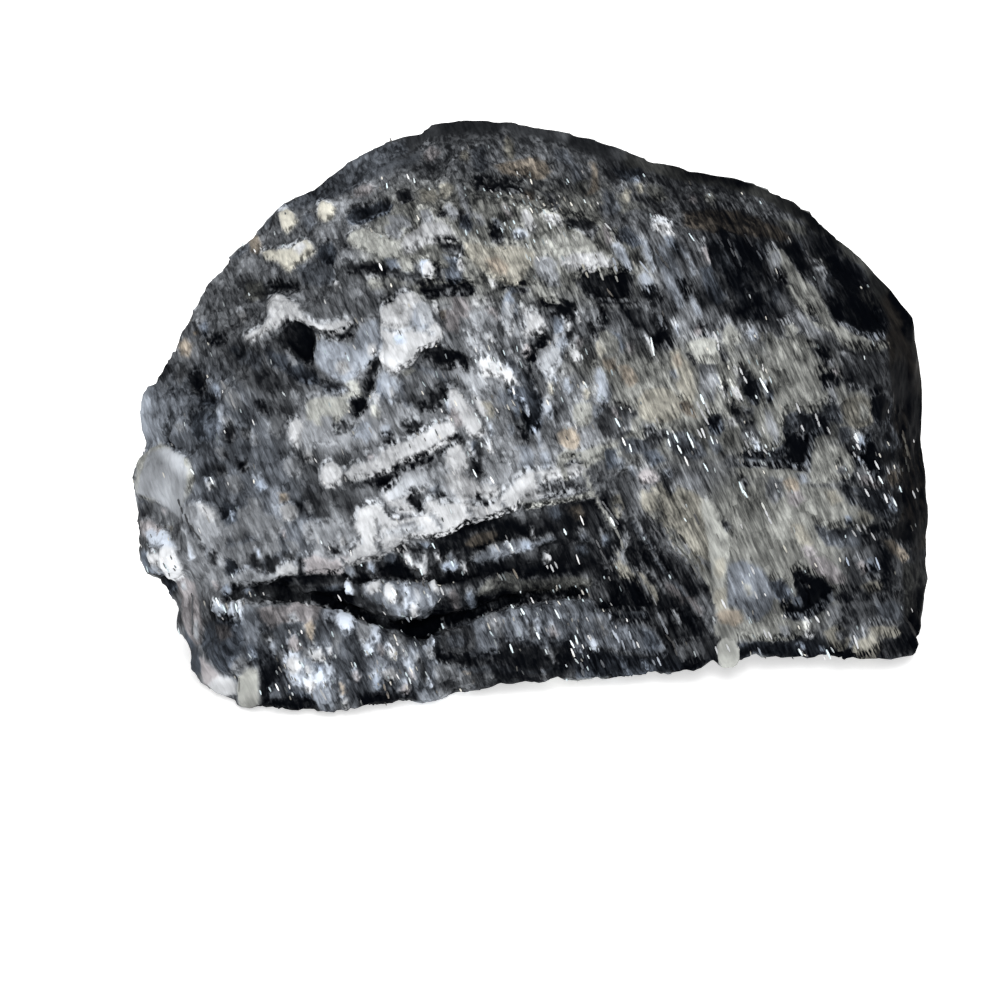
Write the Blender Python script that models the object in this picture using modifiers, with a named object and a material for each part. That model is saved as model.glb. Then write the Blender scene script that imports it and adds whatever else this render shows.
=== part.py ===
"""Black tourmaline with mica and quartz grown through it: one rough, broken lump on a flat foot.

The stone is a single solid. It starts as a block, is split along flat breaks as rough stone is,
and then takes its layers, lumps, cracks and ledges. Units are metres, +Z is up, and the origin is
the middle of the foot.

The broad face looks towards -Y and leans back. Face coordinates are in millimetres: across to the
right, up along the face, and out towards someone who looks square at it. Places on the face and
its rim are given as that viewer sees them from VIEW_POINT, so what stands nearer spreads a little.
"""

import math
import random

import bmesh
import bpy
import numpy as np
from mathutils import Vector, noise

MM = 0.001

# Driving dimensions, in millimetres and degrees.
FACE_LEAN = math.radians(22)  # the broad face leans back this far from upright
FACE_HEIGHT = 20.5  # the face's middle above the floor, seen square on
VIEW_POINT = np.array((-3.3, -8.5, 600.0))  # the viewer's eye, in face coordinates
BLOCK = 140.0  # side of the block that the stone is split from
FINE_GRID = 0.62  # mesh spacing while the surface is shaped
SMOOTHING = 2  # passes that round the sharpest edges
TRIANGLES = 9600  # what the finished surface is thinned to
SHARP_EDGE = math.radians(35)  # edges that turn more than this are shaded sharp

# The rim of the stone seen square on to the broad face, clockwise from the top.
OUTLINE = (
    (-5.8, 29.4), (-1.3, 28.9), (4.7, 27.8), (8.7, 26.6), (10.8, 25.9), (11.8, 25.3),
    (15.7, 24.6), (19.2, 24.0), (22.2, 23.1), (24.2, 22.0), (25.7, 21.7), (27.5, 20.6),
    (29.0, 18.9), (30.7, 17.5), (36.7, 11.3), (37.8, 9.7), (38.3, 7.0), (39.0, 1.0),
    (38.8, -2.5), (39.5, -8.5), (39.1, -18.0), (38.7, -20.3), (38.7, -23.2), (38.1, -24.0),
    (36.7, -24.3), (31.7, -24.5), (21.2, -24.2), (19.5, -25.1), (18.5, -24.9), (15.2, -25.6),
    (6.7, -26.3), (1.7, -26.5), (-3.3, -27.0), (-13.3, -28.7), (-18.3, -29.3), (-22.3, -29.4),
    (-27.3, -29.3), (-29.0, -29.1), (-30.5, -27.9), (-32.0, -27.4), (-34.1, -25.5),
    (-34.3, -23.3), (-35.5, -20.9), (-35.7, -18.6), (-36.8, -17.5), (-37.3, -16.5),
    (-38.5, -15.7), (-39.2, -14.0), (-39.5, -11.0), (-39.3, -8.5), (-39.6, -5.5), (-38.7, -3.4),
    (-38.8, 1.5), (-38.3, 2.7), (-36.5, 5.3), (-35.9, 7.0), (-34.3, 9.7), (-32.7, 12.8),
    (-30.2, 14.9), (-29.6, 16.2), (-27.8, 17.6), (-25.3, 20.6), (-23.3, 21.9), (-21.8, 22.5),
    (-14.3, 27.2), (-11.3, 28.1), (-9.9, 28.9),
)

# Breaks round the rim: the way each faces round the broad face, how far out its rim stands, and
# how far its front bevel turns to the viewer and its rear side turns away.
SIDES = {
    "top_left": (117, 9.5, 40, -24),
    "top": (86, 12.0, 45, -28),
    "top_right": (71, 9.0, 42, -24),
    "right_shoulder": (46, 4.5, 40, -20),
    "right": (1, 3.0, 28, -16),
    "left_foot": (231, 16.5, 40, -26),
    "left_low": (201, 10.5, 38, -20),
    "left": (180, 9.0, 36, -14),
    "left_high": (148, 10.0, 42, -18),
    "left_shoulder": (134, 9.0, 42, -22),
}

# The large breaks on the front and back: bearing, turn to the viewer, distance from the middle.
BREAKS = {
    "broad_face": (180, 86, 21.0),
    "right_face": (0, 78, 20.9),
    "low_face": (-33.8, 77.0, 19.3),
    "back": (94, -66, 16.0),
    "back_right": (24, -50, 25.0),
    "back_left": (160, -48, 26.0),
    "back_top": (98, -40, 21.5),
    "back_low": (-80, -72, 23.8),
    "back_low_right": (-24, -52, 27.0),
    "back_low_left": (204, -46, 29.0),
    "underside": (-85, -8, 23.6),
}

GRAIN = Vector((0.42, -0.90, 0.12)).normalized()  # the crystals' long axis, in face coordinates

# Relief all over the stone. Each height is how far the relief reaches up and down.
SPLINTERS = ((7.5, 1.7, 0.65, 5.0), (3.6, 1.9, 0.38, 17.0))  # size, stretch, height, seed
LAYERS = ((3.6, 0.50, 1), (1.7, 0.25, 2))  # thickness, height, seed
SWELLS = ((11.0, 0.8, 3.0), (4.5, 0.3, 9.0))  # size, height, seed
CALM_PATCH = 16.0  # size of the patches where the layers show less
WORN_SHARE = 0.7  # how much of the splinters and layers is worn off the smooth bevels

# Cracks that run into the face: half width, depth, path.
CRACKS = {
    "main_crack": (0.85, 3.2, ((-31.3, -17.2), (-25.3, -17.9), (-19.3, -19.4), (-14.3, -21.0),
                               (-10.8, -21.3), (-7.3, -20.3), (-2.3, -18.9), (2.7, -17.9),
                               (7.2, -17.7))),
    "upper_crack": (0.6, 2.0, ((-19.3, -16.1), (-13.3, -16.7), (-8.3, -15.7), (-3.3, -14.5),
                               (2.7, -13.9), (6.7, -13.5))),
    "dark_gap": (1.1, 1.0, ((4.4, 13.8), (8.0, 13.2), (11.6, 12.4))),
    "ledge_gap": (0.7, 1.0, ((20.4, -4.2), (24.0, -4.6), (27.6, -4.8))),
    "quartz_crack": (0.7, 1.0, ((-14.7, 7.0), (-16.1, 4.0), (-17.9, 1.4))),
    "upper_seam": (0.8, 0.6, ((-20.8, 14.2), (-14.0, 13.6), (-8.0, 12.7), (-3.2, 12.6),
                              (2.2, 12.2))),
    "slab_seam": (0.7, 0.7, ((-9.9, -22.3), (-9.0, -24.3), (-2.3, -25.0), (6.0, -24.7))),
}

# Steps in the face: how far it stands proud, how far that reaches, the side that stands proud
# (1 above the path, -1 below), and the path.
LEDGES = {
    "low_slab": (1.7, 8.0, -1, ((-34.0, -17.0), (-25.3, -17.9), (-18.3, -19.9), (-13.3, -22.2),
                                (-9.8, -22.2), (-4.3, -19.6), (2.7, -18.4), (10.7, -19.8))),
    "middle_strip": (0.9, 2.6, -1, ((-20.0, -16.0), (-10.3, -16.3), (-3.3, -14.3), (6.7, -13.5))),
    "white_band": (1.2, 7.0, 1, ((-31.0, -16.4), (-19.3, -14.4), (-8.3, -11.5), (-1.3, -9.3),
                                 (6.7, -7.0), (12.0, -3.5))),
    "right_ledge": (0.8, 4.0, -1, ((18.0, -4.2), (24.0, -4.7), (28.5, -4.8))),
    "upper_band": (0.6, 4.0, 1, ((-27.0, 13.8), (-14.0, 14.2), (-3.0, 13.0), (5.0, 14.2))),
}

# Lumps that stand out (or, with a negative height, hollows): place, half length, half width,
# turn of the long axis from the across direction, height.
LUMPS = {
    "quartz_block": ((-12.4, 8.3), 3.4, 2.9, 20, 1.5),
    "quartz_foot": ((-13.8, 5.4), 1.9, 1.4, 0, 0.9),
    "grey_quartz": ((-19.6, 5.7), 2.9, 2.4, -30, 0.9),
    "zigzag_ridge": ((-26.2, 9.6), 3.4, 1.0, 34, 0.9),
    "zigzag_tail": ((-20.6, 9.6), 2.8, 0.9, -10, 0.7),
    "vein_head": ((-9.4, -1.6), 2.6, 1.2, 15, 0.9),
    "vein_body": ((-15.2, -4.2), 5.2, 0.9, 17, 0.6),
    "vein_tail": ((-20.3, -6.2), 1.3, 1.2, 0, 0.7),
    "band_swell": ((-16.3, -11.2), 3.2, 2.6, 15, 0.7),
    "pale_spine": ((18.4, -13.2), 6.2, 1.0, 85, 1.0),
    "spine_knob": ((19.4, -23.4), 1.4, 1.1, 90, 1.4),
    "left_knob": ((-37.2, -14.2), 2.3, 2.0, 0, 1.1),
    "left_boss": ((-36.3, -6.0), 3.0, 3.0, 0, 0.8),
    "left_shelf": ((-32.6, -10.6), 2.4, 1.5, -35, 0.8),
    "foot_boss": ((-29.0, -26.8), 2.8, 2.0, -15, 0.9),
    "sparkle_boss": ((-22.6, -24.8), 3.0, 2.4, -35, 0.7),
    "slab_boss": ((-18.7, -20.6), 1.6, 1.0, -10, 0.6),
    "strip_boss": ((-12.6, -18.6), 3.2, 1.3, 0, 0.8),
    "shoulder_bead_low": ((-24.8, 16.6), 2.4, 1.5, 25, 0.6),
    "shoulder_bead": ((-24.9, 19.6), 1.0, 1.0, 0, 0.5),
    "shoulder_bead_high": ((-20.6, 20.6), 1.2, 1.0, 20, 0.5),
    "centre_hollow": ((-9.2, 4.2), 3.4, 2.6, 0, -0.9),
    "zigzag_hollow": ((-23.2, 6.9), 2.2, 2.8, 20, -1.3),
    "fibre_hollow": ((13.6, -16.2), 6.0, 4.2, -52, -1.5),
    "black_pit": ((33.3, -2.9), 1.7, 2.0, 0, -1.1),
    "low_right_pit": ((27.4, -17.6), 3.2, 2.4, 0, -1.0),
    "notch": ((-7.8, 16.2), 1.6, 1.8, 0, -0.7),
    "gap_pit": ((-18.0, 1.0), 1.2, 1.4, 0, -0.8),
    "right_hollow": ((26.6, -2.6), 2.6, 1.3, 0, -0.8),
    "left_pit": ((-29.9, -2.0), 1.2, 1.0, 0, -0.6),
    "shoulder_hollow": ((23.5, 12.5), 5.5, 3.2, -30, -0.7),
}


def smooth(low, high, value):
    """0 below low, 1 above high, and an even S between them."""
    share = np.clip((value - low) / (high - low), 0.0, 1.0)
    return share * share * (3.0 - 2.0 * share)


def face_matrix():
    """Turns face coordinates (across, up, out) into the stone's own X, Y and Z."""
    s, c = math.sin(FACE_LEAN), math.cos(FACE_LEAN)
    return np.array(((1.0, 0.0, 0.0), (0.0, s, -c), (0.0, c, s)))


def seen(points):
    """Where the viewer sees each point, across and up, against a sheet through the middle."""
    spread = VIEW_POINT[2] / (VIEW_POINT[2] - points[:, 2:3])
    return VIEW_POINT[:2] + (points[:, :2] - VIEW_POINT[:2]) * spread


def unseen(places, out):
    """The across and up of points at this distance out that the viewer sees at these places."""
    spread = VIEW_POINT[2] / (VIEW_POINT[2] - out)
    return VIEW_POINT[:2] + (places - VIEW_POINT[:2]) / spread[:, None]


def facing(bearing, turn):
    """The direction, in face coordinates, that a break faces."""
    b, t = math.radians(bearing), math.radians(turn)
    return np.array((math.cos(t) * math.cos(b), math.cos(t) * math.sin(b), math.sin(t)))


def all_breaks():
    """(direction, distance) of every break, in face coordinates."""
    rim = np.array(OUTLINE)
    planes = [(facing(bearing, turn), distance) for bearing, turn, distance in BREAKS.values()]
    for bearing, rim_out, front, rear in SIDES.values():
        reach = (rim @ facing(bearing, 0)[:2]).max()
        edge = facing(bearing, 0) * reach + np.array((0.0, 0.0, rim_out))
        planes += [(n, n @ edge) for n in (facing(bearing, front), facing(bearing, rear))]
    return planes


def split_block():
    """The block with every break cut away, in face coordinates, still in millimetres."""
    bm = bmesh.new()
    bmesh.ops.create_cube(bm, size=BLOCK)
    for direction, distance in all_breaks():
        everything = bm.verts[:] + bm.edges[:] + bm.faces[:]
        normal = Vector(direction)
        cut = bmesh.ops.bisect_plane(
            bm, geom=everything, plane_co=normal * distance, plane_no=normal, clear_outer=True
        )
        edges = [e for e in cut["geom_cut"] if isinstance(e, bmesh.types.BMEdge)]
        if edges:
            bmesh.ops.contextual_create(bm, geom=edges)
    bmesh.ops.recalc_face_normals(bm, faces=bm.faces[:])
    mesh = bpy.data.meshes.new("black_tourmaline")
    bm.to_mesh(mesh)
    bm.free()
    return mesh


def apply_modifier(stone, kind, **settings):
    """Adds one modifier to the stone and applies it."""
    modifier = stone.modifiers.new(kind.lower(), kind)
    for name, value in settings.items():
        setattr(modifier, name, value)
    bpy.context.view_layer.objects.active = stone
    bpy.ops.object.modifier_apply(modifier=modifier.name)


def points_of(mesh):
    points = np.empty(len(mesh.vertices) * 3, np.float32)
    mesh.vertices.foreach_get("co", points)
    return points.reshape(-1, 3).astype(float)


def normals_of(mesh):
    normals = np.empty(len(mesh.vertices) * 3, np.float32)
    mesh.vertices.foreach_get("normal", normals)
    return normals.reshape(-1, 3).astype(float)


def set_points(mesh, points):
    mesh.vertices.foreach_set("co", points.astype(np.float32).ravel())
    mesh.update()


def bedding(points):
    """How high each point lies in the stack of layers. They climb to the right at the lower left
    and run level at the top and on the right."""
    across, up, out = points.T
    climb = 0.34 - 0.26 * smooth(-6.0, 14.0, up)
    return up - climb * np.minimum(across, 8.0) + 0.25 * out


def layer_relief(points, thickness, seed):
    """Layers of uneven height, -1 to 1, with a short slope from each to the next."""
    heights = [random.Random(f"{seed}.{i}").uniform(-1.0, 1.0) for i in range(200)]
    wander = np.array([noise.noise(Vector(p) / 9.0 + Vector((seed, 0, 0))) for p in points])
    place = bedding(points) / thickness + 0.9 * wander + 100.0
    layer = np.floor(place).astype(int)
    step = smooth(0.70, 1.0, place - layer)
    table = np.array(heights)
    return table[layer] * (1.0 - step) + table[layer + 1] * step


def splinter_relief(points, size, stretch, seed):
    """Flat splinters that tilt every way, stretched along the grain: about -1 to 1."""
    relief = np.empty(len(points))
    offset = Vector((seed, -seed, 2.0 * seed))
    for i, p in enumerate(points):
        v = Vector(p)
        along = v.dot(GRAIN)
        q = (v + GRAIN * along * (1.0 / stretch - 1.0)) / size + offset
        middle = noise.voronoi(q)[1][0]
        tilt = noise.cell_vector(middle * 97.0) * 2.0 - Vector((1.0, 1.0, 1.0))
        relief[i] = (q - middle).dot(tilt) * 1.4
    return relief


def lump_relief(points, size, seed):
    offset = Vector((seed, seed, seed))
    return np.array([noise.noise(Vector(p) / size + offset) for p in points])


def rim_radius(bearing):
    """How far out the outline is, at these bearings round the middle of the face."""
    rim = np.array(OUTLINE)
    rim_bearing = np.arctan2(rim[:, 1], rim[:, 0])
    order = np.argsort(rim_bearing)
    return np.interp(bearing, rim_bearing[order], np.hypot(*rim.T)[order], period=2.0 * math.pi)


def worn(points):
    """1 on the smooth bevels along the top and the right of the rim, 0 on the rest."""
    places = seen(points)
    bearing = np.arctan2(places[:, 1], places[:, 0])
    near_rim = smooth(0.74, 0.92, np.hypot(*places.T) / rim_radius(bearing))
    turn = np.degrees(bearing)
    return near_rim * smooth(-40.0, -20.0, turn) * (1.0 - smooth(135.0, 160.0, turn))


def roughen(mesh):
    """The broken surface all over: soft lumps, splinters and the edges of layers."""
    points, normals = points_of(mesh), normals_of(mesh)
    layered = 0.35 + 0.65 * smooth(-0.2, 0.6, lump_relief(points, CALM_PATCH, 41.0))
    relief = np.zeros(len(points))
    for size, stretch, height, seed in SPLINTERS:
        relief += height * splinter_relief(points, size, stretch, seed)
    for thickness, height, seed in LAYERS:
        relief += height * layered * layer_relief(points, thickness, seed)
    relief *= 1.0 - WORN_SHARE * worn(points)
    for size, height, seed in SWELLS:
        relief += height * lump_relief(points, size, seed)
    set_points(mesh, points + normals * relief[:, None])


def fit_rim(mesh):
    """Draws the stone's rim, seen square on, in or out to the outline."""
    points = points_of(mesh)
    places = seen(points)
    bearing = np.arctan2(places[:, 1], places[:, 0])
    radius = np.hypot(*places.T)
    bins = 180
    index = ((bearing / (2.0 * math.pi) + 0.5) * bins).astype(int) % bins
    reach = np.zeros(bins)
    np.maximum.at(reach, index, radius)
    middles = (np.arange(bins) + 0.5) / bins * 2.0 * math.pi - math.pi
    has = np.interp(bearing, middles, reach, period=2.0 * math.pi)
    grow = 1.0 + (rim_radius(bearing) / has - 1.0) * smooth(0.35, 0.95, radius / has)
    points[:, :2] = unseen(places * grow[:, None], points[:, 2])
    set_points(mesh, points)


def along_path(places, path):
    """Distance of each place from a path on the face, and how far along the path it is nearest,
    from 0 to 1."""
    path = np.array(path)
    steps = np.diff(path, axis=0)
    lengths = np.hypot(*steps.T)
    starts = np.concatenate(([0.0], np.cumsum(lengths)[:-1]))
    best = np.full(len(places), 1e9)
    share = np.zeros(len(places))
    for start, step, length, before in zip(path[:-1], steps, lengths, starts):
        t = np.clip((places - start) @ step / length**2, 0.0, 1.0)
        gap = np.hypot(*(places - start - t[:, None] * step).T)
        closer = gap < best
        best[closer] = gap[closer]
        share[closer] = ((before + t * length) / lengths.sum())[closer]
    return best, share


def crack_relief(places, half_width, depth, path):
    gap, share = along_path(places, path)
    taper = smooth(0.0, 0.18, share) * smooth(0.0, 0.18, 1.0 - share)
    return -depth * (0.25 + 0.75 * taper) * (1.0 - smooth(0.3, 1.6, gap / half_width))


def ledge_relief(places, proud, reach, side, path):
    path = np.array(path)
    line = np.interp(places[:, 0], path[:, 0], path[:, 1])
    past = (places[:, 1] - line) * side
    ends = smooth(path[0, 0] - 1.0, path[0, 0] + 3.0, places[:, 0])
    ends *= 1.0 - smooth(path[-1, 0] - 3.0, path[-1, 0] + 1.0, places[:, 0])
    return proud * smooth(-0.5, 0.5, past) * np.exp(-np.maximum(past, 0.0) / reach) * ends


def dome_relief(places, place, half_length, half_width, turn, height):
    t = math.radians(turn)
    offset = places - np.array(place)
    long_way = (offset @ np.array((math.cos(t), math.sin(t)))) / half_length
    short_way = (offset @ np.array((-math.sin(t), math.cos(t)))) / half_width
    return height * (1.0 - smooth(0.45, 1.25, np.hypot(long_way, short_way)))


def carve_face(mesh):
    """The cracks, ledges and lumps that the broad face has in known places."""
    points, normals = points_of(mesh), normals_of(mesh)
    places = seen(points)
    relief = np.zeros(len(points))
    for crack in CRACKS.values():
        relief += crack_relief(places, *crack)
    for ledge in LEDGES.values():
        relief += ledge_relief(places, *ledge)
    for lump in LUMPS.values():
        relief += dome_relief(places, *lump)
    points[:, 2] += relief * smooth(0.05, 0.45, normals[:, 2])
    set_points(mesh, points)


def stand_up(mesh):
    """Turns the stone from face coordinates to stand on the floor, in metres."""
    points = points_of(mesh) @ face_matrix().T
    points[:, 2] += FACE_HEIGHT
    set_points(mesh, points * MM)


def drop_sealed_pockets(bm):
    """Removes every loose shell but the stone's own: hollows that the flat foot has closed."""
    left = set(bm.verts)
    shells = []
    while left:
        shell = set()
        front = [left.pop()]
        while front:
            vert = front.pop()
            shell.add(vert)
            near = [edge.other_vert(vert) for edge in vert.link_edges]
            front += [v for v in near if v in left]
            left.difference_update(near)
        shells.append(shell)
    shells.sort(key=len)
    for shell in shells[:-1]:
        bmesh.ops.delete(bm, geom=list(shell), context="VERTS")
    print("sealed pockets dropped:", len(shells) - 1)


def cut_foot(mesh):
    """Cuts the stone off flat where it stands, and puts the origin in the middle below it."""
    bm = bmesh.new()
    bm.from_mesh(mesh)
    everything = bm.verts[:] + bm.edges[:] + bm.faces[:]
    down = Vector((0.0, 0.0, -1.0))
    cut = bmesh.ops.bisect_plane(bm, geom=everything, dist=1e-6, plane_co=Vector(), plane_no=down,
                                 clear_outer=True)
    edges = [e for e in cut["geom_cut"] if isinstance(e, bmesh.types.BMEdge)]
    bmesh.ops.contextual_create(bm, geom=edges)
    drop_sealed_pockets(bm)
    low = Vector([min(v.co[i] for v in bm.verts) for i in range(3)])
    high = Vector([max(v.co[i] for v in bm.verts) for i in range(3)])
    middle = (low + high) / 2
    bmesh.ops.translate(bm, verts=bm.verts[:], vec=(-middle.x, -middle.y, 0.0))
    bmesh.ops.triangulate(bm, faces=[f for f in bm.faces if len(f.verts) > 3])
    bm.to_mesh(mesh)
    bm.free()
    print("middle moved by, in mm:", round(-middle.x / MM, 3), round(-middle.y / MM, 3))
    print("size in mm:", [round(side / MM, 1) for side in high - low])


def schorl():
    """Black, glassy tourmaline greyed by mica."""
    material = bpy.data.materials.new("black_tourmaline")
    material.use_nodes = True
    shader = material.node_tree.nodes["Principled BSDF"]
    shader.inputs["Base Color"].default_value = (0.055, 0.058, 0.062, 1.0)
    shader.inputs["Roughness"].default_value = 0.38
    shader.inputs["Metallic"].default_value = 0.0
    return material


def build():
    for old in list(bpy.data.objects):
        bpy.data.objects.remove(old)
    collection = bpy.data.collections.new("black_tourmaline")
    bpy.context.scene.collection.children.link(collection)
    mesh = split_block()
    stone = bpy.data.objects.new("black_tourmaline", mesh)
    collection.objects.link(stone)
    apply_modifier(stone, "REMESH", mode="VOXEL", voxel_size=FINE_GRID)
    roughen(stone.data)
    fit_rim(stone.data)
    carve_face(stone.data)
    apply_modifier(stone, "SMOOTH", factor=0.5, iterations=SMOOTHING)
    fit_rim(stone.data)
    stand_up(stone.data)
    apply_modifier(stone, "TRIANGULATE")
    apply_modifier(stone, "DECIMATE", ratio=TRIANGLES / len(stone.data.polygons))
    cut_foot(stone.data)
    stone.data.materials.append(schorl())
    stone.data.shade_smooth()
    stone.data.set_sharp_from_angle(angle=SHARP_EDGE)
    print("triangles:", len(stone.data.polygons))


build()
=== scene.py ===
# %% [markdown]
# # A rough black tourmaline
# Black tourmaline, or schorl, grows as thin black needles packed side by side. In this stone they
# have grown together with flakes of silvery mica, cream feldspar and grains of white quartz, so a
# broken face is streaked black, grey and white, all along one grain. The lesson takes the plain
# stone that the CAD gives, refines its broken surface, paints its minerals and sets the mica on it.

# %% Load the stone
import math

import bpy
import numpy as np
from mathutils import Matrix, Vector, noise


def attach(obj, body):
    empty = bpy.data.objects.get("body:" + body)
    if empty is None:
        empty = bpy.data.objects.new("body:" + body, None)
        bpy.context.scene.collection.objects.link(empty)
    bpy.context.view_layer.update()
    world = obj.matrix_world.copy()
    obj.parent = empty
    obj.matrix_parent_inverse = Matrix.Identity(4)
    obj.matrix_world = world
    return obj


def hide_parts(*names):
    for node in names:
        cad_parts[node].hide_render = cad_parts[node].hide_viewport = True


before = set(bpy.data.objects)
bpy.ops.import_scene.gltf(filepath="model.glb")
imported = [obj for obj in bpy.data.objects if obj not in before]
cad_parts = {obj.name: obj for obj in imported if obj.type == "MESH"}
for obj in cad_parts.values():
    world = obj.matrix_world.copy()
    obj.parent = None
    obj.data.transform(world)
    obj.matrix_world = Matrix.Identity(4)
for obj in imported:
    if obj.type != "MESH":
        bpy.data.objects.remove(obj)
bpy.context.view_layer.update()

# %% [markdown]
# ## A ruler for the broad face
# The broad face leans back from upright, so its own directions are more use than the floor's:
# across to the right, up along the face, and out of it. Places on it are read off a chart, ruled in
# tenths of a millimetre, across from the left and down from the top, as an eye square in front of
# the face sees them.

# %% Face directions
MM = 0.001
FACE_LEAN = math.radians(22)  # the broad face leans back this far from upright
FACE_MIDDLE = np.array((-0.144, 5.746, 20.5))  # where across, up and out are nought, in mm
ACROSS = np.array((1.0, 0.0, 0.0))
UP = np.array((0.0, math.sin(FACE_LEAN), math.cos(FACE_LEAN)))
OUT = np.array((0.0, -math.cos(FACE_LEAN), math.sin(FACE_LEAN)))
FACE_AXES = np.stack((ACROSS, UP, OUT))
GRAIN = np.array((0.40, -0.90, 0.10))  # the needles' long axis, along the face directions
GRAIN /= np.linalg.norm(GRAIN)


def to_face(points):
    """Points in metres, as mm along the face directions."""
    return (points / MM - FACE_MIDDLE) @ FACE_AXES.T


def grain_frame():
    """Rows: along the needles, across them, and out, in face directions."""
    out = np.array((0.0, 0.0, 1.0))
    side = np.cross(out, GRAIN)
    side /= np.linalg.norm(side)
    return np.stack((GRAIN, side, np.cross(GRAIN, side)))


print("the needles run along", (GRAIN @ FACE_AXES).round(2), "in the room")

# %% The chart
EYE = np.array((-3.3, -8.5, 600.0))  # the eye, in mm along the face directions
CHART_CORNER = np.array((-53.3, 41.5))  # the chart's top left corner, in mm across and up
CHART_SIDE = 1000  # chart divisions from edge to edge
CHART_RULE = 10.0  # and to the millimetre


def chart_places(points):
    """Where the eye sees these face points on the chart."""
    spread = EYE[2] / (EYE[2] - points[:, 2:3])
    seen = EYE[:2] + (points[:, :2] - EYE[:2]) * spread
    return (seen - CHART_CORNER) * (CHART_RULE, -CHART_RULE)


def smooth(low, high, value):
    """0 below low, 1 above high, and an even S between them."""
    share = np.clip((value - low) / (high - low), 0.0, 1.0)
    return share * share * (3.0 - 2.0 * share)


chart_middle = CHART_CORNER + CHART_SIDE / 2 / CHART_RULE * np.array((1, -1))
print("the chart's middle on the face, in mm:", chart_middle)

# %% [markdown]
# ## A finer skin for the stone
# The CAD stone has the right breaks, cracks and lumps in about nine thousand triangles, which is
# far too coarse for splinters half a millimetre wide. A Remesh modifier gives an even skin, and one
# subdivision of the faces in front puts the detail where it is looked at. A Multires sculpt would
# do the same by hand, but this way gives the same stone each time.

# %% Helpers for meshes
def select_only(thing):
    """Leaves this object alone selected and active."""
    bpy.ops.object.select_all(action="DESELECT")
    thing.select_set(True)
    bpy.context.view_layer.objects.active = thing


def apply_modifier(thing, kind, **settings):
    """Adds one modifier and applies it."""
    select_only(thing)
    modifier = thing.modifiers.new(kind.lower(), kind)
    for name, value in settings.items():
        setattr(modifier, name, value)
    bpy.ops.object.modifier_apply(modifier=modifier.name)


def read(mesh, what):
    """The vertices' "co" or "normal", as an array."""
    values = np.empty(len(mesh.vertices) * 3, np.float32)
    mesh.vertices.foreach_get(what, values)
    return values.reshape(-1, 3).astype(float)


print("points in the CAD stone:", len(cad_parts["black_tourmaline"].data.vertices))

# %% Copy the stone and remesh it
SKIN_GRID = 0.63 * MM  # mesh spacing all over, before the front is subdivided
SAME_POINT = 1e-6  # points closer than this, in metres, are merged

cad_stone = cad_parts["black_tourmaline"]
stone = bpy.data.objects.new("tourmaline_stone", cad_stone.data.copy())
bpy.context.scene.collection.objects.link(stone)
select_only(stone)
bpy.ops.object.mode_set(mode="EDIT")
bpy.ops.mesh.select_all(action="SELECT")
bpy.ops.mesh.remove_doubles(threshold=SAME_POINT)
bpy.ops.object.mode_set(mode="OBJECT")
apply_modifier(stone, "REMESH", mode="VOXEL", voxel_size=SKIN_GRID)
print("faces after the remesh:", len(stone.data.polygons))

# %% Subdivide the faces in front
FRONT_TURN = 0.17  # faces that look out at least this much count as the front

bpy.ops.object.mode_set(mode="EDIT")
bpy.ops.mesh.select_mode(type="FACE")
bpy.ops.mesh.select_all(action="DESELECT")
bpy.ops.object.mode_set(mode="OBJECT")
normals = np.empty(len(stone.data.polygons) * 3, np.float32)
stone.data.polygons.foreach_get("normal", normals)
in_front = normals.reshape(-1, 3) @ OUT > FRONT_TURN
stone.data.polygons.foreach_set("select", in_front)
bpy.ops.object.mode_set(mode="EDIT")
bpy.ops.mesh.subdivide(number_cuts=1, smoothness=0.0)
bpy.ops.object.mode_set(mode="OBJECT")
print("faces in front:", int(in_front.sum()), "points now:", len(stone.data.vertices))

# %% [markdown]
# ## Reading the minerals off the chart
# What makes this stone itself is where its minerals lie: white bands and lobes of feldspar and
# quartz, black seams of tourmaline between them, grey mica over all. Each is laid down as a brush
# stroke, and each part of the face has its own list of them. A row gives how light the stroke is
# from 0 to 100, its tint if that isn't grey, half its width on the chart, and its path. A row
# without a width is a patch, filled to its outline. An indented line goes on with the row above.
# Painting by hand on the mesh would do as well, but strokes can be moved and laid again.

# %% The tints, and how a list of strokes is read
# rows of 95 and over, and the thinnest white rows, are painted glints: highlights of the light on
# pale mica and quartz
TINTS = {
    "grey": (0.95, 1.00, 1.07), "cool": (0.90, 0.99, 1.13), "blue": (0.84, 0.97, 1.18),
    "warm": (1.00, 1.02, 0.96), "cream": (1.05, 1.02, 0.89), "tan": (1.14, 1.00, 0.83),
    "pink": (1.03, 0.98, 1.01), "white": (0.98, 1.0, 1.03),
}
STROKES, CALM, FRAYED = {}, {}, {}  # for each part of the face, in the order they are laid


def read_path(places):
    """Words such as 250,330 as an array of chart places."""
    return np.array([place.split(",") for place in places], float)


def part_of_face(name, rows, calm=0.0, frayed=0.5):
    """Keeps one part's strokes, how smooth its finish is and how far its edges fray, 0 to 1."""
    CALM[name], FRAYED[name] = calm, frayed
    STROKES[name] = []
    for row in rows.replace("\n    ", " ").strip().split("\n"):
        words = row.split()
        lightness = int(words.pop(0)) / 100
        hue = np.array(TINTS[words.pop(0) if words[0] in TINTS else "grey"])
        half_width = 0.0 if "," in words[0] else float(words.pop(0))
        STROKES[name].append((lightness, hue, half_width, read_path(words)))
    print(name, "has", len(STROKES[name]), "strokes")

# %% Washes
# the broad look of each part of the face, under everything else
part_of_face("washes", rows="""
36 75 250,330 380,300 520,260
42 warm 60 420,240 600,240
16 50 690,230 800,290 870,330
44 warm 60 600,400 700,400 800,400
44 55 430,440 560,420
33 cool 60 200,420 260,520
45 warm 55 750,520 830,540 760,600
24 40 880,560 880,620
10 45 470,550 560,540 640,560 670,620
24 cool 45 260,650 400,660 560,640
50 30 330,410 380,430
10 cool 18 480,690 620,675 700,660 860,650
""")
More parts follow.
